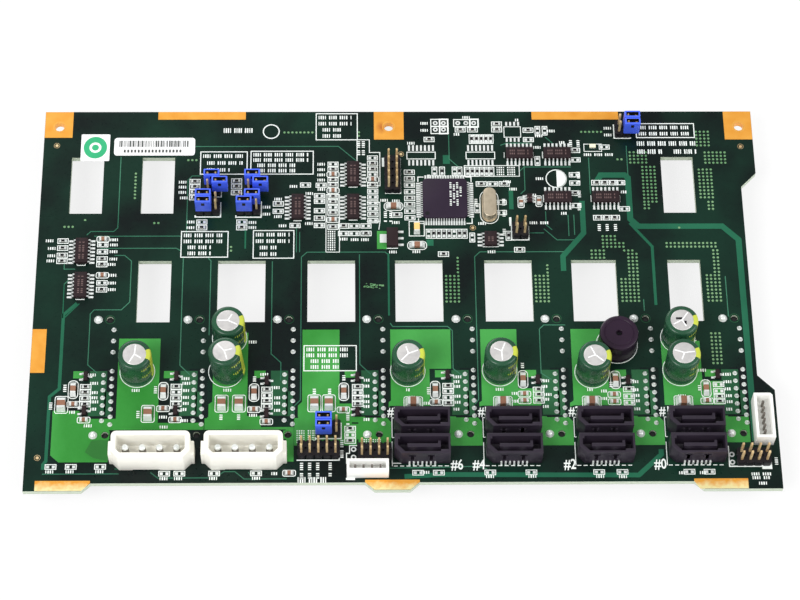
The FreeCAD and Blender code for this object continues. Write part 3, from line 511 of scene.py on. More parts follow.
CHIP_PRINT = plastic("engraved_bars", ink(104, 82, 80), 0.6, 0.08, **FLAT)
BLUE = plastic("blue_plastic", ink(74, 106, 246), 0.38, 0.08)
GLAZE = plastic("resistor_glaze", ink(20, 20, 24), 0.35, 0.1, **DULLER)
CERAMIC = plastic("tan_ceramic", ink(144, 102, 80), 0.42, 0.16)
PALE_CERAMIC = plastic("alumina", ink(214, 214, 206), 0.5, 0.04)
YELLOW = plastic("tantalum_epoxy", ink(244, 206, 128), 0.42, 0.1)
LAMP = plastic("lamp_body", ink(250, 250, 214), 0.2, 0.04)
SLEEVE = plastic("can_sleeve", ink(34, 78, 54), 0.28, 0.14)
STRIPE = plastic("sleeve_stripe", ink(196, 206, 72), 0.35, 0.06)
SCORE = plastic("scored_line", ink(252, 252, 252), 0.5, 0.02)
STICKER = plastic("label_film", ink(250, 250, 250), 0.5, 0.02, depth=0.000008)
STICKER_GREEN = plastic("label_green", ink(44, 176, 118), 0.5, 0.06, **FLAT)
STICKER_INK = plastic("label_ink", ink(70, 74, 72), 0.55, 0.06, **FLAT)
print("finishes", len(bpy.data.materials))

# %% [markdown]
# ## The laminate
# The board is woven glass in resin under a gloss green mask. The mask looks darker where the
# copper below is etched away, in broad cloudy areas, and the weave shows faintly through it.
# Its sawn and routed walls are bare resin. A wall lies between the two faces, so its height in
# the frame picks it out, with no second object.

# %% Green mask over woven glass
def laminate(name, deep, pale, gloss):
    """Solder mask with the weave of the glass below it."""
    finish = Finish(name, IOR=1.5, Specular_IOR_Level=0.2)
    height = finish.axis("Z")
    cloud = finish.grade(finish.noise(34.0, 3.0), 0.38, 0.62)
    fleck = finish.noise(900.0, 3.0)
    mask = finish.mix(cloud * 0.8 + fleck * 0.2, deep, pale)
    warp, weft = (finish.node("ShaderNodeTexWave", {"bands_direction": way},
                              {"Vector": finish.place, "Scale": 620.0, "Distortion": 0.6})
                  for way in ("X", "Y"))
    skin = 0.00004  # metres of mask at each face
    wall = (height > board_low.z + skin) * (height < board_high.z - skin)
    resin = finish.mix(finish.noise(1500.0, 2.0, (1, 1, 8)), ink(168, 182, 160), ink(222, 230, 214))
    finish.set("Base Color", finish.mix(wall, mask, resin))
    finish.set("Roughness", gloss + fleck * 0.10 + wall * 0.4)
    finish.bump(warp * weft + fleck * 0.4, 0.00001, 0.5)
    return finish.material


MASK = laminate("green_mask", ink(8, 15, 17), ink(16, 48, 36), 0.24)
BRIGHT_MASK = laminate("mask_on_copper", ink(50, 134, 52), ink(74, 162, 78), 0.26)
TEAL_MASK = laminate("mask_on_track", ink(26, 84, 62), ink(38, 106, 78), 0.26)
FAINT_MASK = laminate("mask_on_fine_track", ink(40, 96, 74), ink(70, 128, 102), 0.26)
SOFT_MASK = laminate("mask_on_plane", ink(30, 76, 50), ink(48, 102, 66), 0.25)
# Darker mask for the real gaps in the copper, and for painted shade between the inlets.
GAP_AND_SHADE_MASK = laminate("mask_on_gap_and_painted_shade", ink(12, 20, 22), ink(14, 34, 30), 0.24)
# Painted shadow: the pour's green made darker where the left inlet shades it.
INLET_SHADOW_MASK = laminate("mask_with_painted_inlet_shadow", ink(50, 116, 52), ink(58, 128, 64), 0.26)
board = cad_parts["circuit_board"]
board.data.materials.clear()
board.data.materials.append(MASK)
print("board finish", board.data.materials[0].name)

# %% [markdown]
# ## Copper under the mask
# Etched copper stands a few hundredths of a millimetre proud and shows through the mask as a
# brighter green. A picture of the layout would be flat and blurred from close by, so pours and
# tracks are thin plates. Levels keep them apart: pours lowest, then gaps, tracks, pads and ink.

# %% Levels of the printed layers
POUR, GAP, TRACK, PAD, INK = 0.025, 0.04, 0.05, 0.065, 0.08
print("levels", POUR, GAP, TRACK, PAD, INK)

# %% Bright copper pours
pours = bmesh.new()
for corners in (  # the left pour, with a cut corner, then those between the sockets' pin fields
        [(7.6, 105.3), (15.6, 105.3), (15.6, 108.0), (26.6, 108.0), (26.6, 81.1), (39.2, 81.1),
        (39.2, 109.4), (53.0, 109.4), (53.0, 111.7), (24.7, 111.7), (24.7, 122.2), (10.1, 122.2),
        (7.6, 119.9)],
        [(54.3, 103.3), (55.4, 102.4), (55.4, 79.2), (65.9, 79.2), (65.9, 107.2), (70.1, 107.2),
        (70.1, 110.9), (80.0, 110.9), (80.0, 122.2), (77.6, 122.2), (77.6, 111.7), (53.2, 111.7),
        (53.2, 107.6), (54.3, 107.6)],
        [(82.4, 78.2), (93.7, 78.2), (93.7, 103.2), (97.4, 103.2), (97.4, 109.9), (109.1, 109.9),
        (109.1, 115.0), (98.9, 115.0), (98.9, 117.0), (80.1, 117.0), (80.1, 108.3), (80.6, 104.4),
        (82.4, 102.6)],
        [(109.2, 78.2), (127.6, 78.2), (127.6, 91.6), (121.0, 91.6), (121.0, 104.0), (109.0, 104.0),
        (107.9, 105.0), (107.9, 103.4), (109.2, 102.2)],
        [(136.7, 78.2), (147.8, 78.2), (147.8, 98.3), (154.6, 98.3), (154.6, 104.0), (136.7, 104.0),
        (135.2, 104.6), (135.2, 103.4), (136.7, 102.4)],
        [(164.4, 78.2), (175.3, 78.2), (175.3, 98.3), (182.2, 98.3), (182.2, 104.0), (164.4, 104.0),
        (163.0, 104.6), (163.0, 103.4), (164.4, 102.4)],
        [(191.9, 82.4), (203.8, 82.4), (203.8, 96.0), (209.9, 96.0), (209.9, 104.0), (191.9, 104.0)]):
    sheet(pours, corners, 0, POUR)
for bay in (3, 4, 5, 6):
    field = BAY[bay]
    sheet(pours, [(field - 7.3, 107.6), (field + 3.1, 107.6), (field + 4.6, 109.4), (field + 4.6, 117.2),
                  (field - 5.2, 117.2), (field - 5.2, 109.4), (field - 7.3, 109.4)], 0, POUR)
sheet(pours, [(209.8, 107.6), (217.0, 107.6), (217.0, 116.4), (209.8, 116.4)], 0, POUR)
PEG_ACROSS, BACK_PEG, FRONT_PEG, PEG_HOLE = 1.05, 74.6, 113.4, 1.12  # the sockets' locating pegs
for x in BAY:
    slab(pours, x - 7.6, 93.3, 3.4, 2.4, 0, POUR)
    punch(pours, x + PEG_ACROSS, FRONT_PEG, PEG_HOLE)
slab(pours, 107.0, 46.9, 3.2, 6.4, 0, POUR)
piece(pours, "copper_pours", [BRIGHT_MASK])

# %% Softer planes, dark gaps, and painted shade between the inlets and on the corner of the pour
planes = bmesh.new()
for x in BAY:
    slab(planes, x - 1.7, 99.6, 5.2, 15.0, 0, GAP)
    slab(planes, x + 1.4, 103.2, 2.0, 8.2, 0, GAP)
piece(planes, "copper_planes", [SOFT_MASK])
gaps_and_shade = bmesh.new()
for x in BAY:
    slab(gaps_and_shade, x + 1.15, 99.6, 5.6, 16.4, 0, GAP - 0.005)
    path(gaps_and_shade, [(x - 3.2, 107.75), (x + 4.1, 107.75)], 0.35, 0, GAP)
# Painted shade: a dark sheet between the two power inlets, where they shade the board.
sheet(gaps_and_shade, [(50.2, 112.0), (52.9, 112.0), (52.9, 121.6), (50.2, 121.6)], 0, GAP)
# A darker sheet on the corner of the pour is the painted shadow of the left inlet.
sheet(gaps_and_shade, [(17.8, 118.9), (19.6, 115.2), (22.2, 114.9), (24.9, 115.0), (24.9, 121.9), (20.4, 120.9)],
      0, GAP, 1)
for x in BAY:
    punch(gaps_and_shade, x + PEG_ACROSS, FRONT_PEG, PEG_HOLE)
piece(gaps_and_shade, "copper_gaps_and_painted_shade", [GAP_AND_SHADE_MASK, INLET_SHADOW_MASK])

# %% [markdown]
# Tracks run as smooth bands with mitred bends. Wide ones feed power along the edges, thin ones
# carry signals between the windows. Fields of vias join the planes beside the windows, on the
# same grid as the sockets' contacts.

# %% Wide tracks
tracks = bmesh.new()
for width, line in (
        (0.35, [(13.9, 69.0), (9.6, 73.8)]),
        (1.0, [(13.1, 68.9), (9.2, 72.9), (9.2, 98.0), (6.4, 100.6), (6.4, 121.8), (5.6, 122.9),
        (5.6, 124.6)]),
        (0.3, [(8.9, 62.3), (9.0, 74.0)]),
        (1.9, [(175.0, 26.0), (176.3, 23.6), (183.9, 23.6), (184.9, 24.6), (184.9, 39.6), (187.4, 42.2),
        (213.6, 42.2), (218.4, 47.0), (218.4, 116.0)]),
        (1.7, [(170.0, 33.0), (170.0, 44.6), (163.2, 52.8), (163.2, 58.0)]),
        (0.9, [(184.6, 41.0), (191.2, 49.4), (191.2, 70.0)]),
        (1.4, [(147.7, 28.4), (147.7, 36.0)]),
        (0.5, [(26.9, 124.4), (31.0, 124.4)]),
        (1.5, [(113.0, 127.2), (124.0, 126.6), (182.8, 127.0), (189.9, 120.3), (189.9, 118.6)]),
        (0.5, [(64.4, 43.0), (64.4, 49.9)]),
        (0.6, [(108.9, 51.6), (108.9, 73.4)])):
    path(tracks, line, width, 0, TRACK)
slab(tracks, 121.9, 47.9, 2.2, 2.2, 0, TRACK)
slab(tracks, 127.6, 17.8, 2.2, 3.2, 0, TRACK)

# %% Thin tracks
FINE = 0.28  # width of a signal track
for line in (
        [(24.6, 16.7), (24.6, 42.4), (23.4, 43.7), (16.3, 43.7), (15.0, 45.0)], [(48.0, 12.9),
        (93.4, 12.9), (99.0, 18.2)], [(50.0, 23.7), (47.3, 23.7), (46.0, 25.2), (46.0, 45.0)],
        [(17.4, 45.4), (44.4, 45.4)], [(19.4, 49.7), (43.0, 49.7), (44.4, 50.6)], [(24.0, 52.2),
        (27.1, 52.2), (29.3, 54.2), (29.3, 68.5), (26.8, 71.2), (18.5, 71.2), (17.4, 72.6), (17.4, 90.0),
        (20.4, 92.8)], [(8.6, 55.0), (8.6, 57.0), (12.0, 57.0)], [(10.2, 60.8), (8.9, 62.3)],
        [(45.3, 53.0), (45.3, 90.2), (48.4, 93.4)], [(53.0, 53.2), (53.9, 54.2), (53.9, 80.0)],
        [(72.9, 54.4), (72.9, 86.4), (75.9, 89.4), (75.9, 95.4)], [(80.3, 42.0), (80.3, 51.2)],
        [(81.3, 44.0), (81.3, 51.2)], [(108.6, 51.9), (107.9, 51.2), (83.6, 51.2), (81.9, 52.9),
        (81.9, 102.0), (80.0, 104.0), (80.0, 107.6)], [(99.9, 52.0), (99.9, 90.0), (103.2, 93.4)],
        [(109.2, 76.0), (110.0, 77.2), (126.8, 77.2), (128.2, 78.6), (128.2, 91.6), (131.0, 94.0)],
        [(165.6, 51.2), (137.4, 51.2), (135.7, 52.9), (135.7, 102.0), (134.6, 103.4)], [(162.9, 76.8),
        (156.3, 76.8), (154.9, 78.2), (154.9, 93.2), (158.0, 95.4)], [(152.6, 44.5), (157.6, 44.5)],
        [(172.8, 17.2), (172.8, 30.4)], [(5.5, 126.0), (28.2, 126.0)], [(37.6, 125.6), (39.8, 127.4),
        (56.6, 127.4), (59.4, 125.4), (62.6, 125.4), (65.4, 127.8), (78.0, 127.8)], [(66.6, 125.6),
        (68.4, 128.2)], [(102.6, 124.6), (134.0, 124.0), (137.6, 124.8)], [(185.0, 24.6), (185.0, 12.8)],
        [(157.6, 43.0), (161.6, 47.0), (168.4, 47.0)], [(165.4, 38.0), (165.4, 45.6)], [(167.2, 38.0),
        (167.2, 45.2)], [(158.4, 36.8), (158.4, 41.6), (160.2, 43.4)], [(152.2, 20.0), (152.2, 29.0),
        (150.8, 30.4)], [(144.9, 12.6), (146.8, 11.8), (154.8, 11.8)], [(128.5, 8.6), (128.5, 17.6),
        (131.8, 21.0)], [(159.3, 9.6), (161.6, 11.9)], [(150.8, 22.0), (152.2, 20.6), (167.0, 20.6)],
        [(187.5, 68.0), (187.5, 72.0)], [(213.3, 60.0), (213.3, 74.0)]):
    path(tracks, line, FINE, 0, TRACK, 1)
piece(tracks, "tracks", [TEAL_MASK, FAINT_MASK])

# %% Vias under the mask
via = lathe([(0.0, 0.02), (0.14, 0.02), (0.22, 0.07), (0.36, 0.05), (0.40, 0.0)], 8)
fields = [  # left, right, top, bottom
    (126.7, 130.6, 59.7, 68.8), (130.4, 130.6, 53.3, 59.0), (154.4, 158.4, 59.7, 68.8),
    (158.2, 158.4, 56.0, 59.0), (181.0, 186.3, 60.9, 69.2), (183.6, 186.3, 52.0, 60.0),
    (175.9, 180.2, 45.7, 47.2), (175.9, 183.0, 48.2, 50.0), (172.2, 176.2, 50.8, 53.5),
    (182.4, 185.2, 50.8, 51.4), (195.8, 211.6, 48.2, 49.7), (210.2, 211.6, 50.8, 58.6),
    (207.6, 211.6, 59.6, 68.8), (189.7, 193.8, 20.6, 33.4), (186.0, 191.4, 15.2, 19.6),
    (182.0, 184.0, 17.8, 18.2), (189.7, 191.2, 34.4, 36.8), (207.6, 211.6, 21.6, 32.4),
    (209.9, 211.6, 33.4, 36.8), (209.9, 216.7, 15.3, 19.9), (207.6, 211.6, 7.6, 12.8),
    (207.6, 210.4, 79.8, 91.0), (76.2, 85.2, 7.7, 7.9), (170.9, 177.3, 7.6, 7.8),
    (29.5, 29.7, 22.8, 31.9), (8.0, 10.7, 42.0, 42.2), (45.9, 48.6, 17.9, 18.1),
    (35.9, 37.3, 40.7, 40.9)]
vias = bmesh.new()
for left, right, top, bottom in fields:
    for column in range(int((right - left) / GRID) + 1):
        for row in range(int((bottom - top) / GRID) + 1):
            stamp(vias, via, spot(left + column * GRID, top + row * GRID))
for across, down in ((14.3, 39.6), (60.0, 49.3), (60.0, 50.6), (200.1, 42.7), (99.9, 7.7), (99.9, 9.0)):
    stamp(vias, via, spot(across, down, GAP))
SPECK = laminate("mask_on_via", ink(92, 142, 96), ink(128, 166, 122), 0.3)
piece(vias, "vias", [SPECK])

# %% [markdown]
# ## Gold pads
# Where the board touches its cage the copper is bare and gold plated: round the screw holes,
# along the back and left edges and on the three feet. The plating is stained round the middle
# screw and worn pale on the feet, so its colour depends on where it is on the board.

# %% The recipe for plating
def plating(name):
    """Gold with a stain round the middle screw and pale wear along the feet."""
    finish = Finish(name, Metallic=0.45)
    depth = finish.axis("Y")
    cloud, patch = finish.noise(260.0, 4.0), finish.noise(620.0, 4.0)
    gold = finish.mix(cloud, ink(236, 150, 36), ink(252, 188, 84))
    middle = TO_FRAME @ on_board(107.2, 5.9)  # the stained screw hole
    distance = finish.node("ShaderNodeVectorMath", {"operation": "DISTANCE"},
                           {0: finish.place, 1: middle}, "Value")
    stain = finish.grade(distance + patch * 0.002, 0.0034, 0.0012)
    gold = finish.mix(stain * 0.8, gold, ink(186, 92, 40))
    foot = finish.grade(depth * -1.0 + patch * 0.004, -board_low.y - 0.0008, -board_low.y + 0.0016)
    finish.set("Base Color", finish.mix(foot, gold, ink(255, 240, 176)))
    finish.set("Roughness", 0.34 + cloud * 0.2)
    finish.bump(patch, 0.00003, 0.5)
    return finish.material


# %% Plated corners, edges and feet
PLATING = plating("edge_plating")
SCREW_DOWN, BORE, BARREL = 5.7, 1.62, 1.50  # the plated holes and the tubes in them
SCREWS = [(4.7, SCREW_DOWN), (BAY[4] - 22.54, SCREW_DOWN), (WIDE - 4.2, SCREW_DOWN)]
EDGE = 0.05  # of bare laminate round the plating
pads = bmesh.new()
for (x0, x1, y1), (across, down) in zip(
        ((EDGE, 8.9, 9.6), (104.7, 114.2, 10.4), (216.7, WIDE - EDGE, 10.5)), SCREWS):
    plate = bmesh.new()
    block(plate, (x0, -y1, 0), (x1, -EDGE, PAD))
    flat = [face for face in plate.faces if abs(face.normal.z) > 0.9]
    cut = bmesh.new()
    bmesh.ops.create_circle(cut, segments=32, radius=BORE,
                            matrix=Matrix.Translation(on_board(across, down)))
    rim = [vert.co.copy() for vert in cut.verts]
    cut.free()
    bmesh.ops.delete(plate, geom=flat, context="FACES_ONLY")
    for height in (0.0, PAD):
        border = [edge for edge in plate.edges
                  if all(abs(vert.co.z - height) < 1e-4 for vert in edge.verts)]
        circle = [plate.verts.new((point.x, point.y, height)) for point in rim]
        inner = [plate.edges.new(pair) for pair in zip(circle, circle[1:] + circle[:1])]
        bmesh.ops.triangle_fill(plate, use_beauty=True, edges=border + inner)
    stamp(pads, keep(plate), Matrix.Identity(4))
for x0, x1, y0, y1 in ((35.9, 63.8, EDGE, 2.9), (155.2, 183.0, EDGE, 3.0), (EDGE, 4.4, 77.8, 92.6)):
    slab(pads, (x0 + x1) / 2, (y0 + y1) / 2, x1 - x0, y1 - y0, 0, PAD)
SHOULDER = 129.0  # where the feet begin to taper
for x0, x1, slope0, slope1 in ((3.5, 19.8, 0.0, 2.5), (101.3, 117.5, 2.8, 2.8), (199.2, 215.3, 1.6, 0.0)):
    sheet(pads, [(x0, 128.2), (x1, 128.2), (x1, SHOULDER), (x1 - slope1, DEEP - 0.06),
                 (x0 + slope0, DEEP - 0.06), (x0, SHOULDER)], 0, PAD)
piece(pads, "edge_pads", [PLATING])

# %% Plated screw holes and rings
barrels = bmesh.new()
for across, down in SCREWS:
    for inner, outer, low, high in (
            (BARREL, BORE, -THICK + 0.02, PAD + 0.01),  # the tube, a raised ring and one below
            (1.7, 2.15, PAD - 0.01, PAD + 0.03), (BARREL, 3.0, -THICK - 0.03, -THICK + 0.01)):
        ring(barrels, across, down, inner, outer, low, high, 28)
piece(barrels, "screw_barrels", [GOLD])

# %% Sight marks for the placing machine
marks = bmesh.new()
dot = lathe([(0, 0.05), (0.45, 0.05), (0.5, 0.0)], 14)
for across, down in ((4.15, 12.5), (113.2, 15.8), (135.4, 42.6), (221.5, 13.1), (3.8, 120.7)):
    stamp(marks, dot, spot(across, down))
    ring(marks, across, down, 0.85, 0.95, 0, 0.03, 18)
piece(marks, "sight_marks", [BRONZE])

# %% [markdown]
# ## Solder
# A pin that passes through the board ends in a small volcano of solder with the cut pin in its
# middle. Two turned profiles serve for all: a broad one for the sockets' tabs and a small one for
# their contacts. Below the board the small one, turned over, holds every other lead.

# %% Solder joints over the drive sockets
joint = lathe([(0.0, 0.95), (0.26, 0.92), (0.34, 0.60), (0.48, 0.26), (0.70, 0.07), (0.76, 0.0)], 14)
tab = lathe([(0.0, 1.0), (0.45, 0.96), (0.85, 0.70), (1.12, 0.32), (1.26, 0.07), (1.34, 0.0)], 18)
RIGHT_ROW, LEFT_ROW = 2.37, -0.15  # of contacts, across from a bay's line
solder = bmesh.new()
random.seed(4)
for x in BAY:
    for down in (BACK_PEG, FRONT_PEG):
        stamp(solder, tab, spot(x - PITCH, down, 0, random.uniform(0, 90)))
    for down in [78.06, 81.87, 85.68] + [92.1 + PITCH * row for row in range(8)]:
        stamp(solder, joint, spot(x + RIGHT_ROW, down))
    for row in range(7):
        stamp(solder, joint, spot(x + LEFT_ROW, 93.4 + PITCH * row))
for across, down in ((97.9, 118.3), (97.9, 120.9), (211.0, 120.4), (211.0, 122.95)):
    ring(solder, across, down, 0.42, 0.85, 0, PAD, 16)
piece(solder, "socket_solder", [SOLDER])

# %% Solder joints under the board
under = bmesh.new()
small = Matrix.Translation((0, 0, -THICK)) @ Matrix.Diagonal((0.85, 0.85, -1.1, 1))


def joint_below(x, y):
    """A joint on the underside, below a point of the drawing."""
    stamp(under, joint, Matrix.Translation((x, y, 0)) @ small)


for node in ("header_pins", "connector_pins", "power_inlet_pins"):
    for low, high in solids(node):
        joint_below((low.x + high.x) / 2, (low.y + high.y) / 2)
for number in PLACES:
    low, high = drawn_box(f"data_port_{number}")
    for step in range(7):
        joint_below((low.x + high.x) / 2 + (step - 3) * GRID, low.y + (1.2 if step % 2 else 2.6))
    for end in (low.x + 1.2, high.x - 1.2):
        joint_below(end, (low.y + high.y) / 2)
    low, high = drawn_box(f"capacitor_{number}")
    for side in (-2.5, 2.5):
        joint_below((low.x + high.x) / 2 + side, (low.y + high.y) / 2)
piece(under, "underside_solder", [SOLDER])

# %% [markdown]
# ## Chip resistors and capacitors
# A chip resistor is a pale ceramic tile with a black glaze on top and bright metal ends, soldered
# to two pads inside a printed frame. A capacitor is all tan between its ends. The CAD solids give
# the places, and their longer side says which way each lies. Some frames on the board are empty
# and show only their two pads.

# %% Patterns of a two-ended part
def two_ended(long, wide, tall, end_share, body, top=None, soften=0.07, fillet_reach=0.38):
    """A part with metal ends. Its length runs across; body and top are places in CHIP_FINISHES."""
    shape = bmesh.new()
    end = long * end_share
    half, edge = long / 2 - end, wide / 2 - 0.03
    block(shape, (-half, -edge, 0.03), (half, edge, tall - 0.03), body)
    if top is not None:
        half, edge = long / 2 - end * 0.8, wide / 2 - 0.06
        block(shape, (-half, -edge, tall - 0.08), (half, edge, tall), top)
    for side in (-1, 1):
        inner, outer = side * (long / 2 - end), side * long / 2
        block(shape, (min(inner, outer), -wide / 2, 0.0), (max(inner, outer), wide / 2, tall - 0.02), 0,
              soften, 1)
        toe = outer + side * fillet_reach
        fillet = block(shape, (min(outer, toe), -wide / 2 - 0.05, 0.0),
                       (max(outer, toe), wide / 2 + 0.05, tall * 0.72))
        for vert in fillet:
            if vert.co.z > 0.1 and abs(vert.co.x) > long / 2 + 0.1:
                vert.co.z = PAD + 0.02
    return keep(shape)


CHIP_FINISHES = [SOLDER, PALE_CERAMIC, GLAZE, CERAMIC, YELLOW]
RESISTOR = two_ended(1.6, 0.85, 0.5, 0.2, 1, 2)
SMALL_CAP = two_ended(2.0, 1.2, 0.9, 0.26, 3)
LONG_CAP = two_ended(3.2, 1.65, 1.3, 0.24, 3, soften=0.12, fillet_reach=0.85)
LARGE_CAP = two_ended(3.3, 2.5, 1.9, 0.25, 3, soften=0.14, fillet_reach=0.8)
TANTALUM = two_ended(3.4, 1.8, 1.7, 0.16, 4, soften=0.1, fillet_reach=0.5)


def lay_out(node, pattern, name):
    """Stamps a pattern on every solid of a node, the way that the solid lies."""
    shape, places = bmesh.new(), []
    for low, high in solids(node):
        span, middle = high - low, (low + high) / 2
        turn = 0 if span.x >= span.y else 90
        places.append((middle.x, -middle.y, turn))
        stamp(shape, pattern, spot(middle.x, -middle.y, 0, turn))
    piece(shape, name, CHIP_FINISHES, [node])
    return places


placed = {
    "resistor": lay_out("chip_resistors", RESISTOR, "resistors"),
    "small": lay_out("chip_capacitors_small", SMALL_CAP, "small_capacitors"),
    "long": lay_out("chip_capacitors_long", LONG_CAP, "long_capacitors"),
    "large": lay_out("chip_capacitors_large", LARGE_CAP, "large_capacitors"),
    "tantalum": lay_out("tantalum_capacitor", TANTALUM, "tantalum"),
}
print({kind: len(places) for kind, places in placed.items()})

# %% Spots that were left empty
EMPTY = {  # bay, then across from its line: rows down the board
    (1, -14.6): (123.7,), (1, -8.6): (123.7,), (1, 0.1): (123.7,), (1, -2.3): (48.4, 50.9),
    (1, -2.0): (61.8,), (2, -8.2): (126.0,), (2, -3.7): (126.0,), (2, 6.6): (126.0,),
    (2, 0.85): (40.4,), (2, 13.35): (40.4,), (2, -5.4): (99.2,), (3, -8.3): (126.0,),
    (3, -5.4): (100.4,), (3, -2.7): (36.6,), (3, 2.6): (41.7,), (3, 5.8): (27.1,),
    (3, 10.2): (31.0, 33.0, 36.4, 41.7), (3, 10.7): (27.2,), (4, -12.9): (19.5, 31.3, 35.2),
    (4, -9.6): (44.6,), (4, -7.7): (113.6,), (4, -6.3): (41.9, 44.6), (4, -5.4): (99.6,),
    (4, -2.6): (41.9,), (4, -0.4): (17.2, 23.3, 29.4, 31.5, 33.6, 35.7, 40.0),
    (4, 11.2): (27.2, 29.6, 36.6, 39.0), (4, 12.5): (126.0,), (5, -8.7): (126.0,), (5, 6.6): (126.0,),
    (5, -5.4): (99.2, 101.3), (5, 10.1): (26.8,), (6, -14.8): (33.5, 37.2), (6, -8.5): (126.0,),
    (6, -5.4): (10.5,), (6, 8.7): (23.5, 26.5, 34.7), (6, 9.2): (18.0,), (6, 11.7): (126.0,),
    (7, -8.7): (126.0, 13.3), (7, -5.4): (101.1, 103.2), (7, -4.4): (26.4,), (7, -3.4): (35.9,),
    (7, 11.3): (126.0,), (7, 17.3): (126.0,), (8, -5.4): (97.2, 99.4),
}
EMPTY_ACROSS = {  # bay and rows down the board: places across from its line
    (5, 44.75): (-10.4, -2.4), (5, 22.2): (-8.2, -1.8), (5, 46.1): (3.2,), (5, 35.6): (5.0,),
    (6, 18.4): (-2.8,), (6, 7.2): (-2.4, -0.1),
}
bare = [(BAY[bay - 1] + across, down, 0) for (bay, across), rows in EMPTY.items() for down in rows]
bare += [(BAY[bay - 1] + across, down, 90) for (bay, down), row in EMPTY_ACROSS.items() for across in row]
empty_pair = bmesh.new()
for side in (-1, 1):
    block(empty_pair, (side * 0.85 - 0.45, -0.45, 0), (side * 0.85 + 0.45, 0.45, 0.1), 0, 0.06, 1)
empty_pair = keep(empty_pair)
tinned = bmesh.new()
for across, down, turn in bare:
    stamp(tinned, empty_pair, spot(across, down, 0, turn))
print("empty spots", len(bare))

# %% Pads of the chips that were left out
def pad_row(first, down, count, pitch, wide, long):
    """A row of bare pads, from its first one on."""
    for step in range(count):
        slab(tinned, first + step * pitch, down, wide, long, 0, PAD)


for left in (115.8, 134.6):
    pad_row(left, 13.6, 7, GRID, 0.62, 2.1)
    pad_row(left, 19.0, 7, GRID, 0.62, 2.0)
for down in (4.6, 10.6):
    pad_row(147.0, down, 4, GRID, 0.62, 1.4)
for across, down in ((124.3, 4.3), (126.9, 4.3), (124.3, 6.7), (126.9, 6.7), (131.5, 4.3), (134.1, 4.3),
                     (136.6, 4.3)):
    ring(tinned, across, down, 0.34, 0.8, 0, PAD, 16)
for down in (10.2, 11.4, 9.0):
    pad_row(135.9, down, 5, 1.5, 0.9, 0.8)
piece(tinned, "bare_pads", [SOLDER])

# %% [markdown]
# ## Chips
# A moulded chip has rounded edges, a dimple at its first lead and gull-wing leads: out of the
# body, down, and flat along the pad. Bevelled copies of the CAD bodies give the moulding. A lead
# is four short blocks, few faces, because there are about two hundred.

# %% A gull-wing lead
def gull_wing(width, reach, height, foot):
    """A lead that leaves the body at the origin and runs along +X."""
    shape = bmesh.new()
    plate, side = 0.15, width / 2
    block(shape, (-0.1, -side, height), (reach * 0.35, side, height + plate))
    riser = block(shape, (reach * 0.30, -side, plate), (reach * 0.30 + plate, side, height + plate))
    for vert in riser:
        if vert.co.z < plate * 2:
            vert.co.x += 0.22
    block(shape, (reach - foot, -side, 0.02), (reach, side, 0.02 + plate))
    block(shape, (reach - foot - 0.25, -side - 0.12, 0), (reach + 0.35, side + 0.12, PAD))
    return keep(shape)


LONG_LEAD = gull_wing(0.42, 1.75, 0.75, 1.0)
FINE_LEAD = gull_wing(0.34, 1.65, 0.65, 0.9)
TINY_LEAD = gull_wing(0.4, 0.95, 0.45, 0.55)
SIDES = (0, 90, 180, 270)


def leads(shape, pattern, middle, half_wide, count, pitch, turn):
    """A row of leads along one side. The turn says which way they point."""
    heading = facing(turn)
    for step in range(count):
        place = heading @ Vector((half_wide, (step - (count - 1) / 2) * pitch, 0))
        stamp(shape, pattern, Matrix.Translation(Vector((middle.x, middle.y, 0)) + place) @ heading)


# %% Leads of every chip
chip_leads = bmesh.new()
chip_places = []
for low, high in solids("logic_chips"):
    span, middle = high - low, (low + high) / 2
    longest = max(span.x, span.y)
    count = 7 if longest > 7 else 4 if longest > 4 else 3
    pattern, pitch = (LONG_LEAD, GRID) if count > 3 else (TINY_LEAD, 0.95)
    for turn in SIDES[0 if span.x < span.y else 1::2]:
        leads(chip_leads, pattern, middle, min(span.x, span.y) / 2, count, pitch, turn)
    chip_places.append((middle, span))
low, high = drawn_box("controller_chip")
controller = (low + high) / 2
for turn in SIDES:
    leads(chip_leads, FINE_LEAD, controller, 7.0, 16, 0.8, turn)
for low, high in solids("transistors"):
    middle = (low + high) / 2
    for side, down in ((180, 0.95), (180, -0.95), (0, 0.0)):
        leads(chip_leads, TINY_LEAD, middle + Vector((0, down, 0)), 0.65, 1, 1.0, side)
piece(chip_leads, "chip_leads", [SOLDER])

# %% Moulded bodies
for node, radius, finish in (("logic_chips", 0.16, BLACK_CHIP), ("controller_chip", 0.14, PURPLE_CHIP),
                             ("transistors", 0.14, BLACK_CHIP), ("regulator", 0.18, BLACK_CHIP)):
    softened(node, radius, [finish])
dimples = bmesh.new()
dimple = lathe([(0.0, 0.004), (0.3, 0.004), (0.36, 0.012), (0.36, 0.0)], 14)
for middle, span in chip_places:
    if max(span) > 4:
        offset = Vector((-span.x / 2 + 0.8, span.y / 2 - 0.8, span.z / 2))
        stamp(dimples, dimple, Matrix.Translation(middle + offset))
stamp(dimples, dimple, Matrix.Translation(controller + Vector((-5.6, -5.6, 0.75)))
      @ Matrix.Diagonal((2, 2, 1, 1)))
piece(dimples, "chip_dimples", [BLACK_HEADER])
# The connector pins take the darker pin metal: painted shade inside their housings.
for node, finish in (("regulator_leads", SOLDER), ("connector_pins", PIN_METAL_PAINTED_SHADE),
                     ("port_contacts", SOLDER)):
    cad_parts[node].data.materials.clear()
    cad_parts[node].data.materials.append(finish)

# %% [markdown]
# ## Printed ink
# White ink names and frames the parts. Its frames, circles and numbers are part of the look, and
# they are thin plates like the copper. Words are left off this part: their places hold rows of
# plain ticks. The ports keep plain numbers, cut from Blender's own font.

# %% Frames and ticks
print_ink = bmesh.new()
LINE, PART_LINE, TICK = 0.22, 0.24, 0.68  # widths of lines, and from one tick to the next


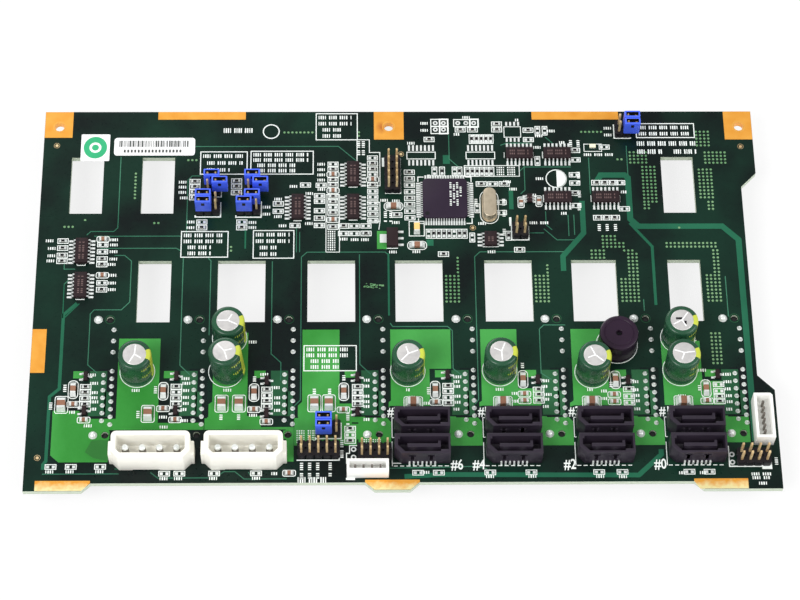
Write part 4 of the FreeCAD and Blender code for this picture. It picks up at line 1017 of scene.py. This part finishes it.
def stroke(points, width=LINE):
    """A printed line."""
    path(print_ink, points, width, 0, INK)


def frame_line(left, top, right, bottom, width=LINE, corner=0.0):
    """A printed rectangle, with its corners rounded if asked."""
    points = [(left, top), (right, top), (right, bottom), (left, bottom)]
    if corner:
        points = rounded(left, top, right, bottom, corner)
    path(print_ink, points, width, 0, INK, closed=True)


def ticks(across, down, count, tall=0.95, upright=False):
    """A row of plain ticks that starts at a place. Every fifth is left out."""
    for step in range(count):
        if step % 5 == 4:
            continue
        wide = 0.42 if (step * 7) % 3 else 0.28
        if upright:
            slab(print_ink, across, down + step * TICK, tall, wide, 0, INK)
        else:
            slab(print_ink, across + step * TICK, down, wide, tall, 0, INK)


for left, top, right, bottom, rows in (
        (49.8, 14.9, 64.5, 23.1, 3), (65.7, 14.7, 85.4, 23.1, 4), (86.3, 0.75, 99.4, 10.5, 4),
        (44.5, 43.8, 59.0, 52.9, 4), (66.9, 43.5, 79.5, 53.3, 4), (82.9, 83.7, 98.8, 92.2, 4),
        (188.5, 4.6, 207.0, 9.8, 2)):
    frame_line(left, top, right, bottom, 0.3)
    spacing = (bottom - top - 0.6) / rows
    for row in range(rows):
        indent = 0.9 if row < rows - 2 or rows == 2 else 2.2
        count = int((right - left - indent - (0.8 if row < 2 else 4.6)) / TICK)
        ticks(left + indent, top + 0.3 + spacing * (row + 0.5), count, 1.25)
frame_line(133.2, 20.1, 150.6, 24.0)
for row in range(4):
    ticks(143.6, 20.8 + row * 0.85, 10, 0.5)
frame_line(89.5, 30.6, 93.7, 51.2)
for row in range(9):
    ticks(90.2, 43.9 + row * 0.8, 4, 0.5)
stroke([(99.3, 18.4), (99.3, 10.5), (103.2, 10.5), (103.2, 15.2), (106.5, 15.2), (106.5, 27.4),
        (102.3, 27.4)], 0.26)
stroke([(102.3, 33.4), (106.4, 33.4), (106.4, 40.2), (106.0, 43.2)])
stroke([(102.3, 40.2), (106.4, 40.2)])

# %% Frames of the small parts and of the empty spots
def frame_part(place, half_long, half_wide, corner=0.0):
    """Frames a two-ended part the way that it lies."""
    across, down, turn = place
    a, b = (half_wide, half_long) if turn else (half_long, half_wide)
    frame_line(across - a, down - b, across + a, down + b, PART_LINE, corner)


for kind, half_long, half_wide, corner in (("resistor", 1.6, 0.82, 0), ("small", 1.9, 0.95, 0.5),
                                           ("long", 2.95, 1.45, 1.2), ("large", 2.8, 1.95, 0.6)):
    for place in placed[kind]:
        frame_part(place, half_long, half_wide, corner)
for place in bare:
    frame_part(place, 1.6, 0.76)

# %% Ticks in place of the part names
for across, down, count in (
        (2.6, 47.0, 5), (3.4, 49.7, 5), (3.4, 52.3, 5), (3.2, 54.1, 5), (22.6, 46.7, 4), (22.6, 48.5, 5),
        (22.6, 50.9, 5), (22.6, 53.5, 5), (22.2, 55.4, 5), (22.6, 59.2, 5), (22.6, 61.9, 5),
        (22.6, 64.2, 5), (43.3, 26.0, 5), (43.3, 27.8, 5), (43.3, 29.7, 5), (43.8, 31.7, 5),
        (46.2, 40.4, 5), (46.2, 42.4, 5), (65.5, 40.6, 5), (65.5, 42.4, 5), (78.2, 27.6, 5),
        (87.0, 28.7, 5), (73.4, 32.2, 5), (73.4, 38.5, 5), (86.9, 19.5, 5), (86.9, 21.5, 5),
        (86.9, 23.4, 5), (86.9, 25.3, 4), (74.9, 41.8, 5), (83.1, 41.0, 4), (83.2, 30.2, 4),
        (69.8, 35.1, 4), (69.8, 37.6, 4), (106.7, 32.7, 4), (110.4, 32.9, 4), (110.3, 40.7, 5),
        (94.0, 46.6, 5), (97.4, 46.8, 4), (100.6, 46.8, 4), (109.3, 51.2, 4), (116.6, 51.1, 5),
        (119.7, 4.4, 4), (119.7, 7.0, 4), (115.4, 11.8, 4), (133.2, 2.2, 4), (130.3, 8.5, 3),
        (150.0, 3.2, 2), (155.5, 13.4, 4), (156.2, 9.1, 4), (160.2, 7.3, 4), (155.9, 24.9, 4),
        (163.8, 11.6, 3), (153.4, 30.9, 4), (137.3, 41.1, 4), (140.0, 51.2, 4), (145.6, 26.0, 4),
        (147.4, 28.7, 4), (163.4, 37.5, 3), (178.3, 6.3, 4), (178.3, 8.8, 4), (171.5, 16.1, 15),
        (182.6, 29.8, 3), (153.4, 40.9, 9), (69.9, 93.4, 4), (66.2, 82.4, 4), (31.2, 98.6, 4),
        (58.8, 98.6, 4), (114.0, 98.7, 2), (141.1, 98.6, 4), (168.8, 98.8, 3), (196.3, 101.0, 4),
        (114.9, 101.2, 3), (40.0, 110.8, 4), (17.3, 110.3, 4), (17.8, 93.4, 5), (18.6, 96.2, 5),
        (18.6, 99.3, 4), (18.6, 101.0, 4), (18.9, 102.4, 4), (19.0, 104.8, 3), (46.1, 94.7, 4),
        (46.4, 96.3, 4), (46.1, 98.7, 4), (46.1, 101.0, 4), (46.1, 103.0, 4), (46.1, 105.0, 3),
        (46.0, 108.7, 5), (73.4, 97.8, 4), (74.2, 101.2, 3), (74.2, 103.0, 3), (74.2, 105.4, 3),
        (101.2, 95.4, 3), (101.1, 97.4, 3), (101.1, 100.8, 3), (101.1, 102.6, 3), (101.1, 104.2, 3),
        (101.1, 108.5, 3), (128.4, 94.4, 4), (128.4, 96.0, 3), (128.6, 97.6, 3), (128.6, 100.9, 3),
        (128.6, 102.9, 3), (128.2, 105.2, 3), (155.0, 95.8, 4), (155.0, 97.7, 3), (155.6, 100.4, 4),
        (155.4, 102.0, 3), (155.2, 104.4, 3), (182.1, 96.2, 5), (182.6, 98.9, 3), (182.8, 100.8, 3),
        (182.8, 102.6, 3), (182.8, 105.3, 3), (210.4, 93.8, 4), (210.4, 96.3, 4), (210.6, 98.7, 3),
        (210.8, 101.0, 3), (210.9, 103.0, 3), (210.6, 105.5, 3), (202.9, 92.4, 4), (173.0, 99.3, 3),
        (173.0, 101.8, 3), (145.9, 100.0, 3), (146.0, 102.6, 3), (119.2, 103.2, 3), (12.7, 105.8, 3),
        (39.7, 107.5, 4), (66.7, 107.0, 4), (6.6, 125.3, 4), (12.6, 125.3, 4), (21.4, 125.3, 4),
        (40.5, 127.6, 4), (44.8, 127.6, 4), (55.2, 127.6, 4), (67.9, 127.6, 4), (73.6, 126.1, 3),
        (118.2, 125.9, 4), (137.4, 127.3, 4), (150.0, 127.3, 4), (170.2, 127.4, 4), (177.0, 127.5, 4),
        (195.0, 126.3, 3), (201.2, 126.3, 3), (216.6, 126.8, 9), (216.8, 128.0, 8), (218.6, 129.8, 4)):
    ticks(across, down, count)
for across, down, count in (
        (10.9, 96.8, 5), (6.9, 102.7, 4), (38.2, 97.4, 4), (33.2, 105.6, 4), (68.0, 94.2, 3),
        (58.1, 106.9, 3), (63.4, 106.9, 3), (86.1, 98.4, 3), (90.7, 98.4, 3), (95.0, 93.9, 3),
        (120.6, 98.0, 4), (149.3, 89.9, 3), (176.0, 96.4, 3), (202.8, 97.6, 3), (99.8, 11.2, 8),
        (101.3, 11.2, 8), (108.1, 36.8, 6), (109.8, 36.8, 6), (167.3, 10.9, 6), (169.7, 10.9, 5),
        (169.3, 22.6, 6), (169.3, 29.5, 4), (169.0, 34.2, 4), (136.6, 32.4, 4), (145.3, 32.4, 4),
        (145.3, 36.4, 4), (145.2, 43.2, 4), (121.9, 23.6, 4), (82.4, 122.8, 8), (84.8, 122.8, 8),
        (87.2, 122.8, 8), (90.9, 122.8, 7), (96.2, 106.6, 9), (94.4, 115.4, 9), (224.2, 121.6, 4),
        (175.0, 41.6, 4), (177.5, 41.6, 4), (180.1, 41.6, 4)):
    ticks(across, down, count, upright=True)
for across, down, count, tall in ((57.0, 7.0, 14, 1.7), (188.6, 12.0, 28, 1.6), (188.6, 15.0, 12, 1.6),
                                  (200.2, 15.0, 11, 1.6), (81.4, 128.2, 13, 1.8)):
    ticks(across, down, count, tall)
for row in range(6):
    ticks(81.0, 112.2 + row * 0.75, 9, 0.42)
for row in range(4):
    ticks(100.4, 115.2 + row * 0.6, 9, 0.34)
print("ticks and frames", len(print_ink.faces))

# %% Frames of chips, headers and sockets
for left, top, right, bottom, width in (
        (115.1, 15.1, 124.1, 17.6, 0.26), (133.9, 15.1, 143.0, 17.6, 0.26),
        (146.2, 5.7, 151.5, 9.6, 0.22), (122.9, 2.9, 125.6, 5.5, 0.3), (122.9, 5.6, 125.6, 8.2, 0.3),
        (125.7, 2.9, 128.3, 5.5, 0.5), (125.7, 5.6, 128.3, 8.2, 0.5), (130.2, 3.0, 135.3, 5.6, 0.3),
        (135.4, 2.9, 138.0, 5.7, 0.5)):
    frame_line(left, top, right, bottom, width)
for points, width in (
        ([(56.6, 28.6), (56.6, 31.4), (54.2, 31.4)], 0.28), ([(48.6, 38.0), (48.6, 38.6), (56.5, 38.6),
        (56.5, 33.3)], 0.4), ([(61.3, 38.0), (61.3, 38.7), (69.2, 38.7), (69.2, 33.0)], 0.4),
        ([(181.3, 4.9), (181.3, 10.0), (186.7, 10.0)], 0.35), ([(86.3, 114.8), (94.2, 114.8),
        (94.2, 109.6)], 0.35), ([(80.9, 121.8), (93.6, 121.8), (93.6, 116.0)], 0.35), ([(95.8, 123.0),
        (95.8, 119.6), (96.7, 119.6), (96.7, 117.1), (98.9, 117.1)], 0.3), ([(109.4, 115.8),
        (109.4, 122.9), (112.4, 122.9)], 0.3), ([(210.1, 117.6), (210.1, 124.3), (220.0, 124.3)], 0.35),
        ([(147.5, 42.0), (147.5, 47.0), (152.8, 47.0), (152.8, 42.0)], 0.35), ([(147.2, 38.9),
        (147.2, 42.0)], 0.7), ([(107.5, 17.2), (107.5, 20.4)], 0.7), ([(113.0, 17.4), (113.0, 30.2),
        (108.2, 30.2), (108.2, 20.4)], 0.24), ([(95.6, 127.9), (98.3, 127.9)], 0.7), ([(146.0, 15.2),
        (146.0, 17.2)], 0.22), ([(155.2, 15.2), (155.2, 17.2)], 0.22), ([(158.2, 15.0),
        (158.2, 17.4)], 0.3), ([(157.9, 30.8), (157.9, 33.4)], 0.3), ([(172.9, 31.0),
        (172.9, 33.4)], 0.22), ([(182.0, 31.0), (182.0, 33.4)], 0.22), ([(152.0, 31.0),
        (152.0, 33.4)], 0.2), ([(12.4, 55.0), (12.6, 55.7), (15.0, 55.7), (15.2, 55.0)], 0.26),
        ([(12.6, 67.6), (15.4, 67.6)], 0.26), ([(79.3, 40.0), (81.9, 40.0)], 0.26), ([(96.6, 27.9),
        (99.4, 27.9)], 0.26), ([(96.6, 39.8), (99.4, 39.8)], 0.26), ([(138.3, 49.4),
        (143.3, 49.4)], 0.26), ([(108.4, 49.9), (111.9, 49.9)], 0.3), ([(200.8, 82.3),
        (202.9, 82.3)], 0.3)):
    stroke(points, width)
slab(print_ink, 221.3, 124.4, 3.0, 1.6, 0, INK)
slab(print_ink, 221.9, 123.0, 1.7, 1.6, 0, INK)
for turn in range(4):
    quarter = Matrix.Rotation(turn * math.pi / 2, 2)
    corner = [quarter @ Vector(point) for point in ((-8.4, -6.6), (-8.4, -8.4), (-6.6, -8.4))]
    stroke([(controller.x + point.x, -controller.y + point.y) for point in corner], 0.3)

# %% Circles under the cans and round the upper peg holes
FOOT_SHIFT = {2: (-0.45, 0.45), 5: (0.0, 0.2)}  # of the two cans that lean
for number in PLACES:
    low, high = drawn_box(f"capacitor_{number}")
    across, down = FOOT_SHIFT.get(number, (0, 0))
    ring(print_ink, (low.x + high.x) / 2 + across, -(low.y + high.y) / 2 + down, 5.15, 5.38, 0, INK, 48)
low, high = drawn_box("buzzer")
ring(print_ink, (low.x + high.x) / 2, -(low.y + high.y) / 2, 6.15, 6.4, 0, INK, 48)
for x in BAY:
    ring(print_ink, x + PEG_ACROSS, BACK_PEG, 1.40, 1.52, 0, TRACK, 28, 1)
ring(print_ink, 72.0, 7.4, 2.35, 2.7, 0, INK, 32)
ring(print_ink, 162.2, 24.9, 3.05, 3.35, 0, INK, 40)
half = bmesh.new()
bmesh.ops.create_circle(half, cap_ends=True, segments=40, radius=3.2)
bmesh.ops.bisect_plane(half, geom=half.verts[:] + half.edges[:] + half.faces[:], plane_co=(0.15, 0, 0),
                       plane_no=(-1, 0, 0), clear_outer=True)
thicken(half, half.faces[:], INK)
stamp(print_ink, keep(half), spot(162.2, 24.9))

# %% Frames and numbers of the data ports
for pair in range(4):
    low, high = drawn_box(f"data_port_{2 * pair + 1}")
    left, front = low.x - 0.6, -low.y
    for top, bottom in ((108.0, 114.5), (116.2, front + 0.8)):
        stroke([(left, top), (left, bottom)], PART_LINE)
    for down in (114.5, 108.0):
        stroke([(left, down), (left + 0.6, down)], PART_LINE)
    for step in range(9):
        dash = left + 0.4 + step * 1.9
        stroke([(dash, front + 0.75), (dash + 1.2, front + 0.75)], PART_LINE)


def numeral(words, across, down, tall):
    """Plain narrow numbers cut from the built-in font."""
    curve = bpy.data.curves.new("numeral", "FONT")
    curve.body, curve.size, curve.offset = words, tall * 1.38, 0.06
    curve.extrude, curve.resolution_u = INK / 2, 4
    letters = bpy.data.objects.new("numeral", curve)
    mesh = bpy.data.meshes.new_from_object(letters)
    bpy.data.objects.remove(letters)
    stamp(print_ink, mesh, spot(across, down, INK / 2) @ Matrix.Diagonal((0.74, 1, 1, 1)))


for down, tall, row in ((124.9, 3.3, (("#6", 126.9), ("#4", 133.4), ("#2", 160.6), ("#0", 187.6))),
                        (107.4, 3.1, (("#7", 108.1), ("#5", 135.4), ("#3", 162.7), ("#1", 190.1)))):
    for words, across in row:
        numeral(words, across, down, tall)
frame_line(137.9, 29.1, 143.6, 41.1, PART_LINE, 2.7)
frame_line(115.5, 40.3, 120.2, 45.5, 0.26)
frame_line(171.5, 12.2, 177.1, 14.9, 0.2)
piece(print_ink, "printed_ink", [WHITE_INK, SOFT_MASK])

# %% Faint bars on the chips' tops
BAR = 0.62  # from one bar to the next
marks = bmesh.new()
for low, high in solids("logic_chips"):
    span, middle = high - low, (low + high) / 2
    long = max(span.x, span.y)
    strokes = bmesh.new()
    for row in (-0.55, 0.55):
        for step in range(int(long / BAR) - 3):
            if step % 5 != 3:
                slab(strokes, step * BAR - long / 2 + 1.4, row, 0.34, 0.62, -0.01, 0.004)
    stamp(marks, keep(strokes), spot(middle.x, -middle.y, high.z, 90 if span.y > span.x else 0))
low, high = solids("controller_chip")[0]
for column, first, count in ((0, 1.6, 14), (1, 2.4, 11), (2, 1.6, 14), (3, 3.2, 6)):
    for step in range(count):
        if step % 5 != 4:
            slab(marks, high.x - 5.2 + column * 1.05, -high.y + first + step * BAR, 0.62, 0.34,
                 high.z - 0.01, high.z + 0.004, 1)
piece(marks, "chip_print", [CHIP_PRINT, WHITE_INK])

# %% [markdown]
# ## Pin headers and jumper shunts
# A header's base is a row of eight-sided cells, one to a pin, and each pin ends in a short
# pyramid. A shunt is a soft-cornered block with a slot in its top, where its contacts show.

# %% Header bases and pins
cell = bmesh.new()
block(cell, (-GRID, -GRID, 0), (GRID, GRID, 2.5))
bevelled(cell, [edge for edge in cell.edges if abs(edge.verts[0].co.z - edge.verts[1].co.z) > 1], 0.42, 1)
cell = keep(cell)
bases = bmesh.new()
for low, high in solids("header_bases"):
    for column in range(round((high.x - low.x) / PITCH)):
        for row in range(round((high.y - low.y) / PITCH)):
            x, y = low.x + (column + 0.5) * PITCH, low.y + (row + 0.5) * PITCH
            stamp(bases, cell, Matrix.Translation((x, y, 0)))
piece(bases, "header_blocks", [BLACK_HEADER], ["header_bases"])
pin = bmesh.new()
block(pin, (-0.32, -0.32, 2.4), (0.32, 0.32, 8.0))
tip = block(pin, (-0.32, -0.32, 8.0), (0.32, 0.32, 8.4))
for vert in tip:
    if vert.co.z > 8.2:
        vert.co.x *= 0.4
        vert.co.y *= 0.4
pins = bmesh.new()
stamp_each(pins, keep(pin), "header_pins", 0)
piece(pins, "square_pins", [BRONZE], ["header_pins"])

# %% Jumper shunts
shunt = bmesh.new()
block(shunt, (-2.47, -1.2, 0), (2.47, 1.2, 6.1))
bevelled(shunt, shunt.edges[:], 0.22, 3)
bmesh.ops.bisect_plane(shunt, geom=shunt.verts[:] + shunt.edges[:] + shunt.faces[:], plane_co=(0, 0, 4.6),
                       plane_no=(0, 0, 1))
top = max(shunt.faces, key=lambda face: face.calc_center_median().z)
bmesh.ops.inset_individual(shunt, faces=[top], thickness=0.42)
well = bmesh.ops.extrude_discrete_faces(shunt, faces=[top])["faces"]
bmesh.ops.translate(shunt, vec=(0, 0, -1.5), verts=well[0].verts)
# The slot's walls and floor take black plastic: painted shade in the recess.
for face in {face for vert in well[0].verts for face in vert.link_faces}:
    face.material_index = 2
for side in (-1, 1):
    block(shunt, (side * GRID - 0.34, -0.42, 4.4), (side * GRID + 0.34, 0.42, 4.85), 1)
    block(shunt, (side * 0.62 - 0.09, -0.46, 4.4), (side * 0.62 + 0.09, 0.46, 5.3), 2)
block(shunt, (-0.5, -1.215, 3.7), (0.5, -1.0, 5.2), 2)
shunts = bmesh.new()
stamp_each(shunts, keep(shunt), "jumper_shunts")
piece(shunts, "shunts", [BLUE, BRONZE, BLACK_HEADER], ["jumper_shunts"])

# %% [markdown]
# ## Moulded connectors
# The ports, inlets and sockets have their true shape in the solids. Injection moulding never
# leaves a knife edge, and a light along a soft edge is what the eye reads as plastic, so each is
# a copy with its edges rounded by one to three tenths of a millimetre.

# %% Ports, inlets and sockets
for number in PLACES:
    softened(f"data_port_{number}", 0.10, [BLACK_PORT])
    softened(f"drive_socket_{number}", 0.10, [BLACK_SOCKET])
for side in ("left", "right"):
    softened(f"power_inlet_{side}", 0.30, [IVORY], 3)
for node in ("wafer_connector", "side_connector"):
    softened(node, 0.14, [NYLON])

# %% Contacts inside the connectors
inlet_pin = lathe([(0.0, 0.0), (1.05, 0.0), (1.05, 4.6), (0.9, 5.15), (0.55, 5.4), (0.0, 5.4)], 20)
inlet_pins = bmesh.new()
stamp_each(inlet_pins, inlet_pin, "power_inlet_pins")
for face in inlet_pins.faces:
    if face.calc_center_median().z < 7.0:  # below the tips: painted shade, a darker copy of the pin metal for the shade of the cavity
        face.material_index = 1
piece(inlet_pins, "inlet_pins", [SOLDER, PIN_METAL_PAINTED_SHADE], ["power_inlet_pins"])
contacts = bmesh.new()
TONGUE, FIRST_BEAM, KEY_GAP = 8.75, 15.45, 1.9  # a port's tongue, a socket's first contact, its key
for number in PLACES:
    low, high = drawn_box(f"data_port_{number}")
    for step in range(7):
        across = low.x + TONGUE + (step - 3) * GRID
        block(contacts, (across - 0.28, high.y - 2.88, 2.3), (across + 0.28, high.y - 2.78, 6.6))
    low, high = drawn_box(f"drive_socket_{number}")
    centre = (low + high) / 2
    for step in range(22):
        along = centre.y - FIRST_BEAM + step * GRID + (KEY_GAP if step > 14 else 0.0)
        block(contacts, (centre.x + 0.72, along - 0.3, low.z + 0.7),
              (centre.x + 0.86, along + 0.3, low.z + 5.5))
piece(contacts, "spring_contacts", [GOLD])

# %% [markdown]
# ## Cans, buzzer, crystal and lamp
# An electrolytic can wears a shrunk plastic sleeve: the sleeve follows the crimp near the foot
# and rolls over the shoulder, where the bare aluminium top begins. Its stripe is a matter of which
# faces of the sleeve look towards one side. Two of the cans lean.

# %% Capacitors
CAN, LID, STRIPE_HALF = 5.0, 12.11, 24  # radius, height of the bare top, half the stripe in degrees
can = bmesh.new()
turned(can, [(0.0, 0.0), (4.7, 0.0), (4.95, 0.2), (CAN, 0.5), (CAN, 1.5), (4.78, 1.85), (4.78, 2.15),
             (CAN, 2.5), (CAN, 11.2), (4.93, 11.6), (4.72, 11.92), (4.4, 12.08), (4.0, 12.12),
             (3.62, 12.1), (3.5, 11.98)], 64)
turned(can, [(3.5, 11.98), (3.42, 12.06), (3.2, 12.1), (0.0, 12.12)], 64, 1)
for face in can.faces:
    centre = face.calc_center_median()
    heading = math.degrees(math.atan2(centre.y, centre.x))
    if centre.z > 0.3 and face.material_index == 0 and abs(heading) < STRIPE_HALF:
        face.material_index = 2
for row in range(7):
    heading = -64 + row * 8
    angle = math.radians(heading)
    for height in (5.2, 9.4):
        middle = Vector((math.cos(angle) * CAN, math.sin(angle) * CAN, height))
        mark = block(can, (-0.02, -0.12, -0.6 if row % 3 else -0.1), (0.02, 0.2, 0.5), 2)
        bmesh.ops.transform(can, matrix=Matrix.Translation(middle) @ facing(heading), verts=mark)
can = keep(can)
print("can pattern", len(can.polygons), "faces")

# %% Cans in their places
score = bmesh.new()
for heading, reach in ((0, 3.1), (118, 2.4), (205, 3.0)):
    way = Matrix.Rotation(math.radians(heading), 2) @ Vector((reach, 0))
    path(score, [(0, 0), tuple(way)], 0.36, LID, LID + 0.035)
score = keep(score)
LEANING = {2: (6.0, 135.0), 5: (3.0, 90.0)}  # degrees, and towards which side
MARKED = 8  # the can with a black mark on its top
for number in PLACES:
    low, high = drawn_box(f"capacitor_{number}")
    lean, toward = LEANING.get(number, (0.0, 0.0))
    upright = facing(toward) @ Matrix.Rotation(math.radians(lean), 4, "Y") @ facing(-toward)
    shape = bmesh.new()
    stamp(shape, can, upright)
    body_faces = len(shape.faces)
    stamp(shape, score, upright @ facing(38 + 47 * number))
    shape.faces.ensure_lookup_table()
    for face in shape.faces[body_faces:]:
        face.material_index = 3
    if number == MARKED:
        slab(shape, -0.9, -0.5, 1.9, 0.7, LID, LID + 0.03, 4)
        slab(shape, 0.9, 0.9, 0.8, 1.1, LID, LID + 0.03, 4)
    lows = [min(vert.co[axis] for vert in shape.verts) for axis in range(3)]
    highs = [max(vert.co[axis] for vert in shape.verts) for axis in range(3)]
    move = Vector(((low.x + high.x) / 2 - (lows[0] + highs[0]) / 2,
                   (low.y + high.y) / 2 - (lows[1] + highs[1]) / 2, low.z - lows[2]))
    bmesh.ops.translate(shape, vec=move, verts=shape.verts)
    piece(shape, f"capacitor_can_{number}", [SLEEVE, CAN_TOP, STRIPE, SCORE, BLACK_HEADER],
          [f"capacitor_{number}"])

# %% Buzzer
low, high = drawn_box("buzzer")
shape = bmesh.new()
turned(shape, [(0.9, 7.2), (0.9, 8.3), (1.1, 8.5), (4.2, 8.5), (4.35, 8.36), (4.5, 8.36), (4.65, 8.5),
               (5.3, 8.5), (5.7, 8.34), (5.86, 8.0), (5.9, 7.7), (5.9, 1.2), (5.8, 1.05), (5.8, 0.8),
               (5.9, 0.65), (5.9, 0.15), (5.75, 0.0), (0.0, 0.0)], 72)
turned(shape, [(0.0, 7.2), (0.9, 7.2)], 72, 1)
bmesh.ops.translate(shape, vec=((low.x + high.x) / 2, (low.y + high.y) / 2, 0), verts=shape.verts)
piece(shape, "buzzer_shell", [BUZZER_BLACK, BLACK_HEADER], ["buzzer"])

# %% Crystal and lamp
low, high = drawn_box("crystal")
shape = bmesh.new()
for margin, bottom, top in ((0.0, 0.0, 0.35), (0.32, 0.35, high.z)):
    tall = block(shape, (low.x + margin, low.y + margin, bottom), (high.x - margin, high.y - margin, top))
    upright = [edge for edge in shape.edges if edge.verts[0] in tall and edge.verts[1] in tall
               and abs(edge.verts[0].co.z - edge.verts[1].co.z) > 0.2]
    bevelled(shape, upright, (high.x - low.x) / 2 - margin - 0.02, 12)
bevelled(shape, [edge for edge in shape.edges if min(vert.co.z for vert in edge.verts) > high.z - 0.01],
         0.3, 4)
piece(shape, "crystal_can", [CRYSTAL], ["crystal"])
low, high = drawn_box("status_lamp")
shape = bmesh.new()
BASE = 0.28  # height of the lamp's ceramic base
block(shape, (low.x + 0.02, low.y + 0.02, BASE), (high.x - 0.02, high.y - 0.02, high.z), 0, 0.12, 3)
block(shape, (low.x, low.y, 0.0), (high.x, high.y, BASE), 1)
piece(shape, "lamp_dome", [LAMP, PALE_CERAMIC], ["status_lamp"])

# %% [markdown]
# ## Labels and traces of use
# The labels have rounded corners and carry plain bars, or a green oval with a white ring, in
# place of print. A smudge of pale specks shows that the board was used.

# %% Labels
for node, name, corner in (("square_sticker", "square_label", 0.35), ("long_sticker", "long_label", 1.0)):
    low, high = drawn_box(node)
    left, back, top = low.x, -high.y, high.z
    shape = bmesh.new()
    sheet(shape, rounded(left, back, high.x, -low.y, corner), low.z, top - 0.015)
    if node == "square_sticker":
        across, down = left + 4.55, back + 4.9
        disc = lathe([(0.0, 0.0), (1.0, 0.0), (1.0, 0.012), (0.0, 0.012)], 40, 1)
        stamp(shape, disc, spot(across, down, top - 0.012) @ Matrix.Diagonal((3.7, 4.0, 1, 1)))
        ring(shape, across, down, 1.1, 1.9, top - 0.01, top + 0.004, 32)
    else:
        dice = random.Random(7)
        along = left + 1.6
        while along < high.x - 2.0:
            wide = dice.choice((0.16, 0.16, 0.32, 0.48))
            slab(shape, along + wide / 2, back + 2.2, wide, 2.3, top - 0.012, top, 2)
            along += wide + dice.choice((0.18, 0.18, 0.36))
        for step in range(17):
            slab(shape, left + 3.4 + step * 1.1, back + 4.9, 0.62, 1.05, top - 0.012, top, 2)
    piece(shape, name, [STICKER, STICKER_GREEN, STICKER_INK], [node])

# %% Smudge
shape = bmesh.new()
dice = random.Random(11)
for _ in range(26):
    across, down = 103.4 + dice.gauss(0, 1.1), 63.0 + dice.gauss(0, 0.55)
    wide = dice.uniform(0.3, 0.9)
    slab(shape, across, down, wide, wide * dice.uniform(0.4, 0.9), 0, POUR + 0.012)
piece(shape, "smudge", [SPECK])

# %% [markdown]
# ## Stage
# The board stands on its sockets, on a plain pale floor. The floor is white to the camera, and
# its own colour to every ray that lights the board. Three broad soft lamps and an even world keep
# colours as written.

# %% Floor
FLOOR_REACH, FLOOR_DROP = 4.0, 0.0002  # metres to each side, and metres below the sockets
ground = bmesh.new()
bmesh.ops.create_grid(ground, x_segments=1, y_segments=1, size=FLOOR_REACH)
floor_mesh = bpy.data.meshes.new("floor")
ground.to_mesh(floor_mesh)
ground.free()
floor = bpy.data.objects.new("floor", floor_mesh)
floor.location = (0, 0, cad_low.z - FLOOR_DROP)
bpy.context.scene.collection.objects.link(floor)
floor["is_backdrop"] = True
finish = Finish("pale_floor", Roughness=0.9)
finish.set("Base Color", ink(255, 255, 255))
glow = finish.node("ShaderNodeEmission", sockets={"Color": (1, 1, 1, 1), "Strength": 1.0})
rays = finish.node("ShaderNodeLightPath").socket.node.outputs
camera_ray, glossy_ray, clear_ray = (Wire(finish, rays[f"Is {kind} Ray"])
                                     for kind in ("Camera", "Glossy", "Transmission"))
blend = finish.node("ShaderNodeMixShader")
tree = finish.tree
tree.links.new(((camera_ray + glossy_ray + clear_ray) * 0.8).socket, blend.socket.node.inputs[0])
tree.links.new(finish.shader.outputs["BSDF"], blend.socket.node.inputs[1])
tree.links.new(glow.socket, blend.socket.node.inputs[2])
tree.links.new(blend.socket, tree.nodes["Material Output"].inputs["Surface"])
floor_mesh.materials.append(finish.material)
print("floor height", round(floor.location.z, 5))

# %% World and soft lamps
world = bpy.data.worlds.new("soft_world")
world.use_nodes = True
backdrop = world.node_tree.nodes["Background"].inputs
backdrop["Color"].default_value, backdrop["Strength"].default_value = (1, 1, 1, 1), 0.46
bpy.context.scene.world = world
for name, place, size, power in (("key_lamp", (-0.85, -0.75, 1.25), 0.9, 17.0),
                                 ("fill_lamp", (1.15, -0.35, 1.15), 1.1, 12.0),
                                 ("back_lamp", (-0.55, 1.45, 0.85), 1.0, 9.5)):
    lamp = bpy.data.lights.new(name, "AREA")
    lamp.shape, lamp.size, lamp.energy = "DISK", size, power
    stand = bpy.data.objects.new(name, lamp)
    stand.location = place
    stand.rotation_euler = Vector(place).to_track_quat("Z", "Y").to_euler()
    bpy.context.scene.collection.objects.link(stand)
print("lamps", len(bpy.data.lights))

# %% [markdown]
# ## Camera
# The camera looks down steeply from the near side, through a long lens. Its place is worked out
# from the point it looks at, a tilt from straight down, a small turn about the upright and a
# small roll.

# %% Camera
TILT, PAN, ROLL = (math.radians(angle) for angle in (27.589, -2.466, 2.046))
AIM = TO_FRAME @ on_board(112.33, 68.02)
DISTANCE = 0.78043
turn = Matrix.Rotation(PAN, 3, "Z")
backward = turn @ Vector((0, -math.sin(TILT), math.cos(TILT)))
rightward = turn @ Vector((1, 0, 0))
upward = turn @ Vector((0, math.cos(TILT), math.sin(TILT)))
level = Matrix((rightward, upward, backward)).transposed() @ Matrix.Rotation(ROLL, 3, "Z")
lens = bpy.data.cameras.new("view_camera")
lens.sensor_fit, lens.sensor_width, lens.lens = "HORIZONTAL", 36.0, 114.06
lens.clip_start, lens.clip_end = 0.05, 20.0
camera = bpy.data.objects.new("view_camera", lens)
camera.matrix_world = Matrix.Translation(AIM + backward * DISTANCE) @ level.to_4x4()
bpy.context.scene.collection.objects.link(camera)
bpy.context.scene.camera = camera
bpy.context.scene.view_settings.view_transform = "Standard"
print("camera", [round(value, 4) for value in camera.location])

# %% [markdown]
# ## Measure and finish
# The boxes of the finished pieces and of the CAD solids are printed side by side.

# %% Print both boxes
bpy.context.view_layer.update()
final_low, final_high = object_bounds()
sizes = {"cad_low": list(cad_low), "cad_high": list(cad_high),
         "visual_low": list(final_low), "visual_high": list(final_high)}
for name, corner in sizes.items():
    print(name, [round(value * 1000, 3) for value in corner])
